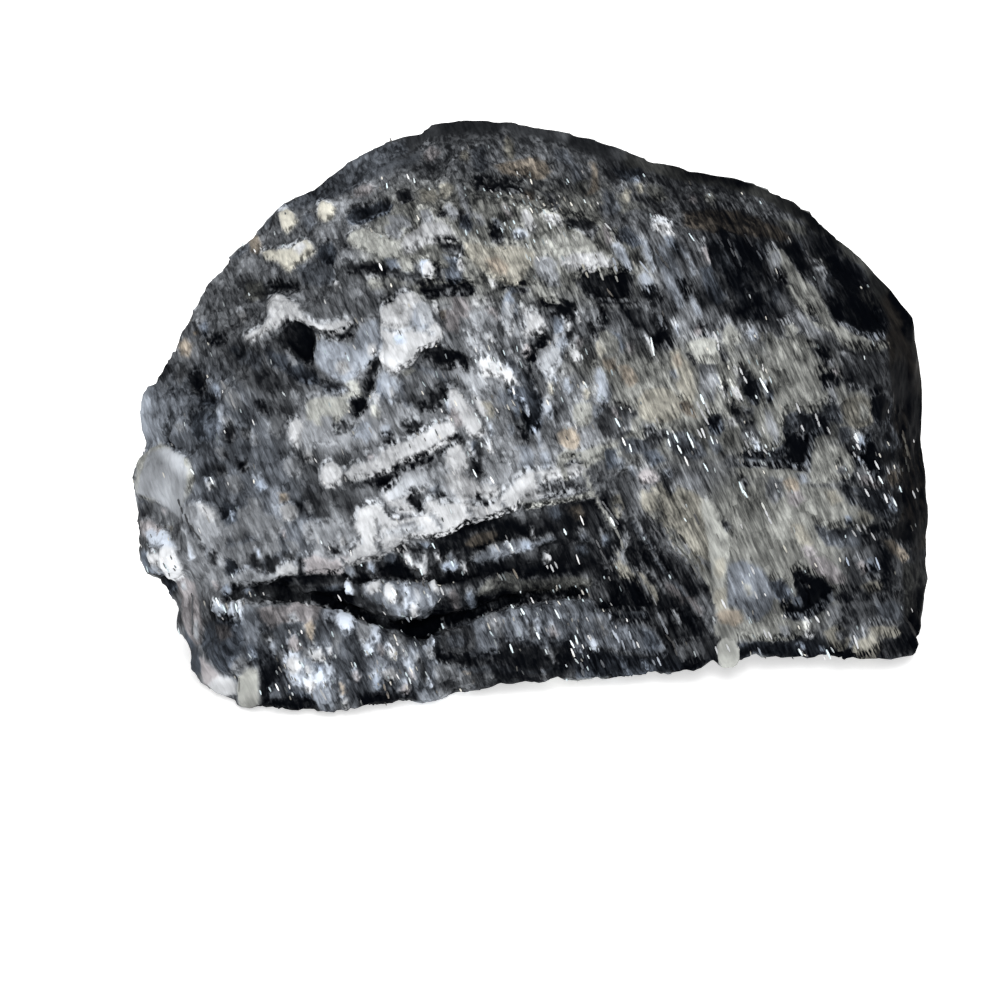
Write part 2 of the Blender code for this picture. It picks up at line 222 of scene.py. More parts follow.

# %% Rims
# the rims, smooth, and mostly painted dark: painted shade where they turn from the light
part_of_face("rims", calm=0.9, frayed=0.6, rows="""
26 cool 16 296,192 340,172 380,155 405,146
15 15 400,140 440,124 500,120 560,131 620,148
14 warm 18 640,158 700,172 740,180 785,200 850,262 900,300
15 tan 15 895,300 912,340 918,400 916,440
40 cool 11 142,388 152,412 152,440
8 cool 12 150,590 165,580
13 tan 886,330 900,318 914,330 922,360 930,400 936,440 936,470 925,470 902,446 896,420 893,396
    890,366
""")

# %% [markdown]
# ## The upper left: quartz and feldspar
# Here the pale minerals stand in lumps: one great quartz grain, cream feldspar along the shoulder,
# and black schorl squeezed in between. Lumps have closed outlines, so most of these rows are filled
# patches. Noise could scatter such lumps over the stone, but not put each where it belongs.

# %% The shoulder
# the upper left, where cream and black lie in lumps
part_of_face("shoulder", calm=0.2, frayed=0.4, rows="""
27 cool 225,262 258,225 280,200 330,172 380,146 404,138 408,150 395,156 380,166 362,180 344,190
    330,197 305,203 282,206 265,226 240,256
46 240,256 252,252 258,262 254,276 244,276 238,268
50 tan 250,236 258,234 262,246 258,253 250,250
42 262,228 274,226 280,236 276,246 264,246
84 cream 279,214 286,208 294,213 298,220 292,228 286,232 281,226
82 cream 317,216 318,205 323,201 330,203 337,207 334,214 328,220 321,220
46 cool 303,210 312,212 316,222 308,228 302,222
80 cream 262,250 275,248 288,247 300,240 306,238 312,243 316,250 306,257 296,264 290,272 285,270
    278,262 264,258
88 white 292,246 302,240 308,246 300,254
44 310,228 322,222 334,226 336,240 318,243
10 blue 318,243 330,240 336,250 332,262 322,262 315,254
15 335,226 344,222 352,228 350,245 338,246
68 warm 350,232 362,226 375,232 388,238 400,240 404,248 396,256 380,256 366,250 352,246 345,238
50 384,224 396,222 404,232 398,238 386,234
8 blue 345,215 352,205 366,204 380,198 392,202 388,212 374,216 360,222 350,222
12 395,190 410,186 414,198 400,202
55 pink 352,190 360,184 372,183 376,190 366,194 354,194
60 386,214 398,212 410,216 412,226 400,226 390,222
5 340,262 355,260 372,262 395,266 415,272 425,280 410,281 390,275 365,272 345,271
38 blue 384,256 396,258 400,266 386,268
76 blue 418,258 428,258 432,268 424,276 418,270
70 warm 364,280 374,276 383,281 380,287 370,287
60 370,290 380,287 387,293 378,299
50 344,290 355,286 362,294 352,302 344,298
85 white 332,282 338,280 341,286 336,290
6 262,284 278,280 290,282 302,284 296,291 276,290
30 cool 296,264 312,258 330,264 334,278 318,284 300,280
40 warm 246,280 260,278 264,292 250,300 242,292
35 300,298 316,296 328,302 324,314 312,314 304,308
42 392,284 408,284 414,294 404,302 392,298
12 382,300 400,294 398,304 386,310
74 white 268,297 275,293 284,297 291,301 298,304 303,312 311,318 322,322 332,321 342,317 350,318
    352,324 343,330 332,334 321,331 310,325 302,320 292,318 285,320 276,326 266,332 258,337 248,341
    243,338 246,333 256,328 266,322 272,316 268,308
84 white 247,334 258,329 264,334 252,341
82 white 270,298 278,296 286,302 280,308 272,306
""")

# %% The heart
# round the great quartz grain, with the cream vein below it
part_of_face("heart", calm=0.25, frayed=0.45, rows="""
5 3 310,328 322,335 335,337 346,333 354,326
3 288,322 297,320 306,325 315,334 316,340 312,352 310,362 303,362 296,352 288,346 282,340 280,332
10 blue 262,345 280,340 296,352 305,366 315,372 318,382 300,380 285,370 270,362
28 cool 232,352 248,346 262,354 258,368 240,366
45 286,354 294,352 298,362 290,364
62 cool 316,340 322,336 330,340 342,340 352,343 358,350 360,360 358,370 350,376 340,380 328,375
    318,366 313,356 314,347
76 cool 320,344 328,342 332,350 326,356 319,352
74 white 336,358 346,358 350,366 342,372 335,367
60 cool 356,330 362,322 370,316 378,318 380,330 380,345 376,354 370,360 362,368 358,360 357,348
    352,340
76 white 368,342 375,340 377,350 371,356 366,350
85 white 380,306 386,301 394,296 400,291 412,290 420,298 428,310 431,318 438,324 443,330 441,337
    432,344 424,350 418,352 412,360 406,365 398,370 395,374 392,370 384,364 380,358 380,352 382,342
    381,326 380,314
93 white 386,306 398,298 408,300 412,312 404,322 390,322
78 cool 412,306 422,312 428,322 420,330 410,324
97 white 385,350 394,346 404,350 406,360 396,368 386,362
60 2 384,326 398,330 412,326 430,330
98 blue 395,333 402,332 404,339 398,342 394,338
4 378,354 371,360 367,370 366,378 364,386 365,394 369,396 372,388 373,380 376,372 380,364
62 blue 375,376 381,378 384,390 380,400 374,396
73 cool 386,378 392,374 398,380 399,390 396,398 390,402 386,396 384,386
78 warm 341,380 350,376 358,380 360,388 364,392 360,395 352,394 344,398 334,402 322,402 312,400
    304,404 306,397 318,395 332,396 344,391 350,386
12 cool 318,382 330,380 342,384 344,389 334,391 322,390
5 350,397 358,395 364,398 368,404 362,412 357,417 352,412 350,405
58 300,404 314,404 326,408 340,404 350,412 356,422 366,416 376,414 384,424 376,436 360,442 344,440
    326,444 308,440 298,430
44 328,414 338,412 342,420 334,424
12 3 336,428 344,427
70 cool 352,424 360,424 362,434 354,436
84 white 373,392 378,392 379,399 374,399
6 418,352 428,346 440,345 452,350 466,356 470,362 462,370 452,368 440,366 432,360 424,358
38 cool 402,366 414,362 430,366 446,372 446,386 436,396 418,404 404,404 398,388
46 warm 400,368 410,364 420,370 414,378 402,378
5 417,400 430,397 438,402 433,411 420,411
8 438,386 448,384 451,392 444,397
54 452,372 460,371 461,380 453,380
60 398,404 412,404 420,414 408,418 398,414
85 white 486,333 491,333 494,341 489,343
70 white 485,293 492,294 491,301 486,300
80 white 471,295 477,295 478,303 472,303
85 white 431,302 437,302 440,308 434,311
20 tan 439,308 446,307 447,316 441,316
45 pink 444,308 456,306 460,320 456,331 444,326
75 cool 444,392 450,387 457,392 462,400 464,412 458,416 450,412 444,405 442,398
100 white 460,418 466,415 472,420 477,426 480,432 474,436 468,433 463,427
65 468,402 475,402 477,410 470,411
60 cream 480,398 490,400 494,408 492,416 485,414 480,406
92 cool 485,421 490,420 493,430 489,434
98 white 486,442 490,441 494,449 492,454 488,451
45 blue 470,438 476,437 479,450 473,453
92 white 466,443 471,443 474,452 469,453
74 white 418,434 410,438 398,440 388,444 380,450 376,458 368,464 360,464 352,468 342,470 338,464
    332,460 324,464 319,472 320,482 328,486 338,483 344,476 356,478 368,474 380,470 388,466 396,462
    404,460 412,456 420,452 430,446
75 pink 3 369,455
8 460,434 448,442 438,447 425,454 410,461 395,468 382,474 365,480 350,482 352,488 368,487 384,481
    398,474 412,467 426,460 440,453 452,447 462,442
5 374,478 386,476 398,480 396,488 380,489
82 white 445,448 452,443 460,441 463,448 467,455 468,462 464,468 458,470 452,468 446,464 443,456
66 434,464 444,466 450,476 446,488 436,484
77 400,470 412,466 424,470 424,482 412,488 400,484
58 424,468 433,464 435,474 427,478
82 white 482,482 490,480 498,484 498,492 490,494 482,490
6 470,458 480,461 490,468 496,476 486,478 476,472
12 266,346 272,337 284,330 293,333 298,344 296,354 284,352 274,350
9 286,332 294,326 301,330 303,342 298,350 290,344
24 2.2 277,340 285,348
""")

# %% The left
# the lumpy left side, from the shoulder down to the pale grain on the rim
part_of_face("left", calm=0.15, rows="""
26 172,376 180,352 194,322 203,316 208,324 200,340 192,356 188,372 178,382
42 cool 157,378 150,390 146,400 146,430 148,442 155,445 165,440 168,430 167,415 175,405 190,400
    180,392 170,396 162,398 158,390
58 blue 196,324 204,318 208,326 202,334
50 tan 178,340 186,336 192,344 188,354 180,352
38 tan 3 193,330
5 200,336 214,334 226,336 224,342 210,343
30 blue 4 232,346
60 white 236,312 244,308 250,316 242,322
6 188,372 198,368 206,376 206,386 198,392 190,388
12 blue 196,396 208,394 218,398 214,406 202,404
58 blue 208,386 214,380 220,386 220,394 213,392
45 218,378 228,382 238,392 242,406 232,408 222,396
62 white 1.5 221,381 228,392 236,408
34 232,360 248,362 258,374 256,388 244,386 234,374
50 262,376 272,374 278,384 272,392 262,388
5 cool 168,420 172,418 170,430 172,440 180,450 190,455 185,458 174,450 167,440 166,428
28 cool 174,428 180,424 188,430 190,442 182,448 175,440
46 173,423 180,420 186,426 178,430
12 blue 190,410 204,407 218,412 220,426 212,438 198,438 190,428
28 blue 202,424 210,422 214,430 206,434
44 218,414 228,412 234,420 226,426
4 223,426 232,424 236,434 230,441 223,437
5 238,426 248,424 252,430 246,437 239,435
62 250,430 256,432 258,442 251,442
5 256,404 264,402 268,410 260,413
52 268,414 280,412 284,424 278,436 268,430
40 cool 258,444 272,440 280,452 270,462 258,456
5 234,460 246,458 250,466 240,470
58 212,446 222,444 228,452 220,458
80 white 288,420 294,416 300,418 303,428 303,440 298,446 292,444 288,436 286,428
56 291,392 298,390 300,400 292,403
46 287,352 295,351 297,360 289,361
62 284,456 296,454 304,464 300,476 288,474 282,466
70 white 302,446 312,448 314,460 304,460
22 300,486 314,490 332,504 350,508 348,516 326,512 306,502
66 blue 252,478 262,476 266,486 256,490
55 tan 277,490 286,490 287,498 279,500
80 white 204,480 212,477 215,485 207,488
18 212,462 224,462 226,474 214,474
44 224,474 238,472 244,484 234,492 224,486
16 blue 222,500 238,502 244,516 232,524 220,514
48 246,494 260,496 262,508 248,510
65 warm 160,440 170,444 176,452 190,456 193,468 195,475 194,480 188,490 184,502 176,510 160,506
    142,494 139,486 138,470 140,458 150,450
22 blue 140,496 156,502 152,512 142,510
""")

# %% The crown
# under the top edge, grey and cream along the grain
part_of_face("crown", calm=0.15, frayed=0.6, rows="""
50 pink 421,150 428,144 436,145 440,149 436,155 430,158 423,156
42 cream 459,149 465,148 468,153 466,159 460,157
37 cream 503,130 510,133 514,145 512,156 506,156 502,146
42 tan 492,162 505,158 520,157 532,154 545,158 550,166 545,174 532,176 515,172 500,168
37 532,138 544,140 548,154 538,158 531,150
36 cool 552,144 566,146 574,158 566,162 554,156
36 cool 569,160 579,160 582,176 572,180
46 tan 588,158 595,160 597,172 597,184 594,190 585,190 590,184 590,170
38 warm 576,178 586,178 588,188 578,190
20 cool 470,144 482,142 488,160 480,170 471,162
8 470,180 480,177 500,178 512,179 525,184 520,190 500,188 478,186
60 cream 437,182 445,178 452,182 450,190 444,196 438,192
46 cream 418,188 430,184 438,192 432,200 420,198
50 455,178 461,182 468,200 472,214 466,214 458,200
24 tan 524,186 532,187 533,197 526,198
85 white 522,206 528,210 532,218 536,226 530,226 524,218 520,212
95 white 540,210 548,212 556,211 560,216 562,223 552,222 544,218
82 cool 510,228 516,224 524,226 528,232 522,236 512,235
70 cool 490,214 497,216 503,228 497,230
66 470,208 478,210 484,222 476,222
60 pink 500,200 507,203 512,214 505,214
4 562,216 572,214 585,216 592,220 596,228 590,236 580,230 570,224
8 488,226 498,225 504,234 500,241 490,239
16 blue 458,212 466,212 472,222 466,230 458,224
55 440,204 448,200 456,206 458,214 452,218 446,214
6 436,207 442,205 446,210 442,215 437,214
62 418,208 428,206 434,214 430,220 420,220
76 white 400,238 410,228 420,221 428,218 440,218 448,222 455,230 458,238 450,240 436,240 424,241
    412,250 402,252
84 white 418,224 432,220 440,228 432,236 420,234
6 438,240 450,241 460,240 464,246 462,256 450,252 442,248
32 blue 442,252 456,254 462,262 450,264
93 white 422,262 428,257 433,262 434,270 430,277 424,276 421,270
5 412,260 420,262 420,276 414,276
6 434,262 440,264 441,276 435,278
38 blue 442,266 452,262 460,268 462,278 452,282 444,278
88 white 455,260 462,258 466,264 462,268 457,266
4 418,283 440,282 455,283 470,281 475,286 472,292 455,293 440,293 425,295
8 498,281 512,283 530,284 526,290 508,289
97 white 487,276 491,275 495,280 494,285 489,282
62 530,254 544,256 556,268 560,282 548,284 536,272
62 pink 580,266 592,268 598,276 588,278
3 572,276 590,279 605,276 620,270 632,272 630,300 600,300 585,292
68 warm 528,284 538,282 546,286 554,292 559,300 550,302 540,298 532,292
5 542,301 560,302 575,304 580,312 570,318 555,316 545,312
72 blue 503,290 510,288 514,300 515,312 512,320 503,320 501,305
88 white 519,304 524,302 527,308 524,313 520,311
60 pink 484,304 494,304 498,316 490,322
40 blue 506,270 512,284 516,288 510,290
50 pink 450,292 464,294 470,306 466,316 452,308
75 412,302 426,298 430,310 432,320 418,322
5 612,230 620,230 622,240 614,242
50 598,200 606,204 614,222 608,228 600,214
40 540,186 552,190 560,206 552,208
""")

# %% The centre
# right of the quartz, white and grey lobes among black needles
part_of_face("centre", calm=0.15, frayed=0.6, rows="""
75 pink 489,307 494,306 497,316 493,320 489,314
74 white 503,298 512,300 514,314 513,328 508,334 503,328 502,314
80 white 524,312 532,308 540,312 545,322 543,330 534,334 524,336 520,328 526,322
5 534,338 548,338 550,346 542,356 536,364 528,364 526,356 533,350
80 pink 522,342 527,339 530,346 529,354 524,355 521,348
36 blue 550,312 560,314 562,328 553,330
100 white 563,319 567,320 569,328 565,329
86 white 575,311 578,311 580,318 577,320
75 pink 575,336 580,336 581,344 576,344
74 cool 557,334 564,331 568,338 564,346 561,355 556,364 548,372 541,374 538,366 541,356 548,350
    554,344
95 cool 549,373 553,371 556,377 555,381 551,380
92 cream 546,380 550,379 553,386 552,393 547,390
60 567,372 573,372 575,382 569,384
78 cream 582,386 587,384 590,390 588,396 583,394
5 588,310 596,304 604,308 606,322 600,336 590,334 586,322
62 cream 594,338 603,336 606,348 600,356 594,350
40 blue 606,326 618,330 624,344 614,352 606,340
55 pink 625,340 631,340 633,350 627,350
4 618,306 640,304 655,310 670,322 674,336 668,346 655,346 645,335 630,322
100 white 647,333 650,336 653,345 656,358 653,358 648,342
76 cool 594,364 599,362 603,370 606,380 610,390 608,400 600,402 594,396 596,384 592,374
52 tan 618,362 626,360 634,368 636,378 628,384 620,376
44 tan 600,356 612,354 616,364 608,370
70 warm 572,402 580,397 590,400 592,412 588,422 578,424 572,416
64 tan 556,430 564,424 572,428 578,434 578,442 570,448 562,444 556,440
70 tan 567,424 574,426 575,438 568,440
60 cool 592,402 604,404 602,416 592,414
80 cool 545,400 550,398 553,406 552,415 547,417 543,410
7 blue 505,385 520,382 535,388 541,398 541,420 536,432 528,430 524,418 520,408 510,398
78 cool 522,402 526,401 530,410 529,416 525,414
56 blue 510,404 516,403 520,412 515,416
72 blue 3 513,393
90 white 480,360 490,360 500,365 508,372 514,378 508,380 498,376 488,374 480,376
100 white 478,360 486,358 490,368 482,372
8 492,345 500,344 508,352 516,360 524,366 534,372 532,380 520,376 508,366 498,356
45 cool 496,384 506,388 512,400 504,404 496,396
50 496,420 506,416 512,430 514,446 506,456 498,440
72 cool 505,420 511,421 513,430 508,432
10 518,428 526,430 528,442 520,444
70 cool 534,429 538,428 541,438 539,446 535,440
46 cool 512,444 524,442 534,452 530,466 518,464
56 510,446 518,446 520,458 512,460
60 cool 538,448 546,446 550,460 542,468
66 warm 556,452 565,446 580,448 595,442 610,440 625,434 640,428 655,424 670,420 676,426 660,432
    645,440 630,444 615,450 600,456 590,462 580,470 566,470 554,464
78 warm 566,450 580,452 590,448 592,456 578,462 568,460
13 562,461 570,456 577,456 580,460 570,463 563,465
24 598,410 608,402 618,404 628,414 630,428 618,436 604,434 596,424
62 pink 610,404 616,405 618,414 612,416
6 621,406 628,405 637,409 634,414 626,413
62 cream 636,395 645,386 655,384 668,386 680,394 680,415 668,418 655,420 642,416 636,406
74 cream 636,404 642,403 645,412 639,413
60 640,420 652,420 656,430 644,434
22 blue 604,446 614,446 616,464 606,466
66 cool 614,455 621,455 624,465 617,467
60 cool 626,462 632,462 635,472 629,474
12 640,442 656,436 660,442 646,450
64 cream 462,240 476,239 490,246 506,242 522,244 533,250 530,262 522,273 518,282 505,283 494,276
    484,270 474,262 464,252
52 tan 484,256 496,254 508,262 504,272 492,268
60 warm 536,234 548,228 560,230 574,232 588,236 596,244 588,250 572,248 556,249 542,244
76 white 558,255 572,249 586,250 598,247 606,253 614,258 610,266 600,265 590,270 580,267 568,267
    558,263
92 white 578,254 588,252 594,258 588,264 580,262
70 cream 1.5 582,262 588,276
74 warm 1.5 596,264 602,280
60 warm 1.4 612,266 618,282
40 tan 1.4 606,288 612,296
66 536,254 548,252 556,260 552,272 542,268
5 580,272 592,270 604,274 616,272 626,276 624,292 610,296 596,292 584,284
76 white 520,213 528,211 535,222 532,231 524,226
4 578,219 588,218 597,224 594,231 583,230
72 503,302 509,300 513,312 511,328 505,330 502,316
56 466,309 480,306 494,314 497,328 488,334 474,328
66 462,333 472,332 482,342 480,349 468,346
92 white 476,357 486,355 497,362 500,371 490,372 480,366
84 white 498,365 508,364 516,373 512,381 502,378
66 460,372 474,370 488,378 492,388 480,393 466,388
78 white 446,387 454,385 461,393 457,399 449,396
12 cool 504,350 510,356 522,368 534,380 532,388 522,382 510,370 503,360
80 536,346 548,342 560,346 558,362 548,374 538,368
80 cool 560,374 566,373 572,384 568,392 561,386
92 white 569,348 575,346 581,354 579,360 571,358
52 warm 598,328 608,326 619,338 618,352 606,350 598,340
72 588,304 595,303 600,316 596,326 589,318
""")

# %% [markdown]
# ## The edges and the right half: schorl and fibrous mica
# Towards the right the stone turns fibrous: warm grey mica runs through bare black schorl in long
# soft streaks. Their edges fray a great deal more than those of the lumps, which their lists say.

# %% The top right
# black bare schorl at the upper right, under the rim, whose smooth band is painted dark as shade
part_of_face("top right", calm=0.1, frayed=0.75, rows="""
18 602,152 640,164 680,174 720,180 760,192 800,214 830,240 850,262 820,250 790,236 750,232 710,228
    680,222 660,200 630,196 606,178
12 blue 612,162 625,165 638,162 643,170 636,179 620,177
58 cream 620,188 624,184 630,188 629,196 624,199 620,194
47 cream 633,182 640,179 643,186 637,192
31 cool 600,182 612,186 620,204 612,216 602,206
30 warm 645,178 660,182 668,196 656,198 646,190
33 pink 687,190 696,191 696,198 687,197
37 warm 701,192 708,187 714,192 717,201 705,200
33 710,197 728,196 745,198 758,201 769,204 771,214 756,212 740,205 724,203
42 3 766,208
11 tan 682,206 700,204 720,203 738,206 756,213 776,222 792,232 780,236 760,231 740,229 720,227
    700,225 682,222
10 655,198 668,198 674,208 666,214 656,208
31 warm 774,215 790,217 806,223 809,231 796,229 782,223
32 600,212 640,204 680,224 700,240 712,262 716,292 700,300 680,284 650,250 620,226
46 pink 600,222 605,221 608,232 610,242 603,240
88 white 1.3 605,223 610,231
44 628,206 636,206 644,218 636,222
10 blue 618,224 626,221 634,230 642,240 632,243 620,236
100 white 652,221 660,219 667,221 674,228 675,236 668,233 661,231 655,229
64 blue 661,231 670,234 679,243 675,248 666,241
50 cool 676,236 682,238 690,252 684,256 678,246
85 cool 608,240 616,237 622,244 627,253 631,263 627,269 620,261 613,250
70 cool 1.8 612,258 618,271
68 cool 641,233 647,239 651,252 655,264 650,269 645,257 641,246
76 cool 1.4 641,261 649,271
68 cool 636,270 643,267 651,276 656,287 648,289 639,285
44 cool 654,240 664,240 676,262 684,282 682,300 672,296 662,276 654,258
54 cool 660,262 668,262 678,286 684,304 678,306 668,284
12 1.6 656,248 668,268
57 cool 687,257 691,255 695,270 690,274
62 pink 701,243 706,241 711,252 709,261 703,255
5 679,284 690,281 697,290 693,299 682,295
4 641,290 655,287 666,292 661,300 652,305 643,299
56 cool 685,292 690,290 699,304 701,313 694,311
32 blue 698,264 710,262 722,280 728,296 716,300 704,284
4 cool 704,236 720,233 740,235 762,238 767,250 760,262 766,276 780,283 776,300 764,312 748,316
    736,306 730,290 722,276 716,262 708,248
26 cool 1.2 716,233 723,247
30 cool 1.2 727,240 734,256
28 cool 1.2 736,252 742,266
24 cool 1.2 746,234 752,246
38 cool 1.2 757,250 762,258
20 712,268 724,270 730,284 722,290
40 721,292 728,291 736,305 730,308
18 745,276 756,274 760,286 750,290
47 warm 768,246 780,245 787,254 797,268 807,278 819,290 825,302 833,316 839,326 826,328 812,320
    800,309 792,297 784,283 773,270
56 768,248 775,246 780,256 781,270 776,278 771,268
63 warm 799,278 805,277 808,287 801,289
58 warm 792,292 800,292 804,302 796,303
4 776,272 784,269 788,280 780,285
5 806,307 816,311 820,318 810,317
3 784,239 800,237 803,252 808,262 813,273 802,273 796,262 788,252
36 1.3 806,250 811,264
50 816,262 824,261 827,272 820,279
2 cool 828,262 846,252 860,262 868,276 864,290 872,300 882,303 888,316 885,331 874,334 862,329
    848,323 836,318 830,302 826,290 824,278
21 pink 864,287 871,286 873,295 865,297
14 827,288 840,288 844,297 830,299
17 3 880,306
8 808,228 826,230 842,246 838,258 824,254 812,244
66 warm 781,322 790,319 797,324 793,333 784,331
53 warm 829,326 840,323 850,327 862,333 876,336 888,335 889,342 876,347 862,346 848,344 838,339
46 warm 764,326 780,334 800,330 816,340 814,362 822,380 808,388 790,380 774,364 764,346
60 warm 775,340 790,338 798,350 790,358 778,352
68 warm 794,345 800,344 802,353 796,354
78 warm 1.8 779,350 782,357
5 807,345 818,343 826,349 835,353 833,363 824,361 817,354
4 818,371 828,367 839,373 841,380 830,387 819,385
54 837,346 843,345 848,358 841,360
58 pink 830,364 835,363 838,371 832,373
18 842,350 860,347 882,349 886,366 882,385 866,391 850,387 842,372
30 848,356 856,356 860,368 852,370
9 840,375 856,377 862,384 848,386
52 warm 799,388 812,385 823,392 822,399 801,399
52 825,385 832,383 837,399 829,401
47 warm 843,390 858,387 871,392 868,401 846,401
17 cool 2.4 720,240 728,254 736,268
21 cool 2.1 736,244 744,262
16 3 726,284 736,300 746,312
15 3 750,258 760,276 768,294
19 2.4 744,288 754,306
12 5 832,276 842,290
12 warm 6 862,286 872,300
10 5 846,304 858,316
24 cool 2 756,236 764,250
26 cool 2 798,238 806,252
""")

# %% The lower left
# lumps and pale beads, and the ribbed strip under them
# the beads are painted brightest as highlights, with painted shade in blue-grey on their left sides
part_of_face("lower left", calm=0.2, frayed=0.3, rows="""
36 140,500 158,500 175,508 184,512 184,526 172,526 160,518 144,514
60 pink 162,507 165,506 168,512 165,513
46 188,536 206,540 226,546 250,540 276,532 282,548 270,556 244,564 226,576 212,578 200,574 188,560
50 236,508 250,504 272,514 284,522 276,534 254,536 238,528
34 226,524 236,520 246,534 236,544 228,536
61 186,504 196,500 215,505 222,518 228,530 226,545 222,556 210,552 200,540 194,528 186,520
70 200,512 212,518 222,528 214,538 204,532 196,520
93 white 198,503 203,502 208,508 212,510 216,515 213,520 206,516 200,510
64 white 1 203,507 207,513
28 1.5 177,500 184,514 190,526 200,540
60 cream 169,525 173,525 175,530 172,531
56 pink 142,520 150,518 158,524 165,528 160,536 150,540 143,534
84 cool 147,532 152,528 157,530 160,536 162,531 168,532 172,538 176,546 168,548 160,546 150,543
48 blue 143,548 150,550 150,562 156,570 150,571 144,564
90 white 149,554 156,550 161,553 160,561 154,562
98 white 162,549 168,545 175,547 179,555 183,563 186,572 180,578 172,578 165,571 161,561
64 cool 1.5 148,547 158,546 164,544
76 cool 152,561 158,562 166,572 160,574 154,568
14 blue 163,578 172,579 177,586 170,592 163,590
46 pink 176,580 184,575 196,580 200,596 203,620 202,640 197,645 188,638 184,622 180,600
58 pink 2.5 188,588 188,612 190,634
62 194,620 198,618 201,632 199,640 195,636
38 1.5 193,596 193,634
36 2.5 180,598 180,616 185,630
75 182,579 186,579 188,586 184,586
65 184,528 187,528 191,536 187,537
82 cool 188,545 190,544 194,556 190,557
62 cool 204,547 207,547 210,557 206,557
22 198,544 205,545 206,553 200,553
10 blue 222,512 228,509 229,519 223,519
76 blue 230,511 234,511 235,518 230,520
16 208,555 215,551 219,556 216,563 210,563
60 217,557 224,556 226,570 219,571
14 blue 226,558 233,560 239,567 234,574 226,572
88 blue 254,547 257,547 260,555 257,555
62 263,544 270,543 274,552 266,555
60 257,533 261,533 264,541 260,541
72 271,531 275,531 279,539 275,540
70 pink 280,527 283,527 286,536 282,536
14 248,552 256,555 263,566 258,573 251,565
13 265,558 276,556 283,562 276,571 267,572
11 281,553 292,551 298,558 288,561
44 284,538 296,540 300,550 290,552
7 299,556 308,555 312,562 305,566 299,562
72 white 279,506 287,501 296,505 297,514 291,521 282,519
58 301,522 312,518 320,526 318,537 308,543 301,534
30 3 309,531
60 302,500 312,502 314,512 304,512
64 218,576 232,576 246,567 256,571 268,572 280,570 281,577 268,581 250,584 232,584 220,584
76 236,572 246,569 252,575 246,581 237,580
82 white 276,569 282,562 290,560 298,564 299,572 288,575 279,575
80 pink 303,566 310,561 320,560 326,566 316,572 305,574
3 230,585 246,584 262,584 280,578 296,576 316,573 332,570 350,573 352,600 320,603 300,603 280,601
    260,601 240,600 222,599 226,592
24 286,584 300,580 312,582 318,590 304,595 290,592
24 blue 322,584 334,580 341,586 334,592 324,590
12 262,586 278,584 284,594 270,597
75 blue 221,587 226,583 231,588 228,595 222,593
46 blue 241,588 248,585 253,592 247,596
44 203,580 212,575 221,583 219,593 212,600 204,596
66 pink 212,578 215,578 220,588 216,589
""")
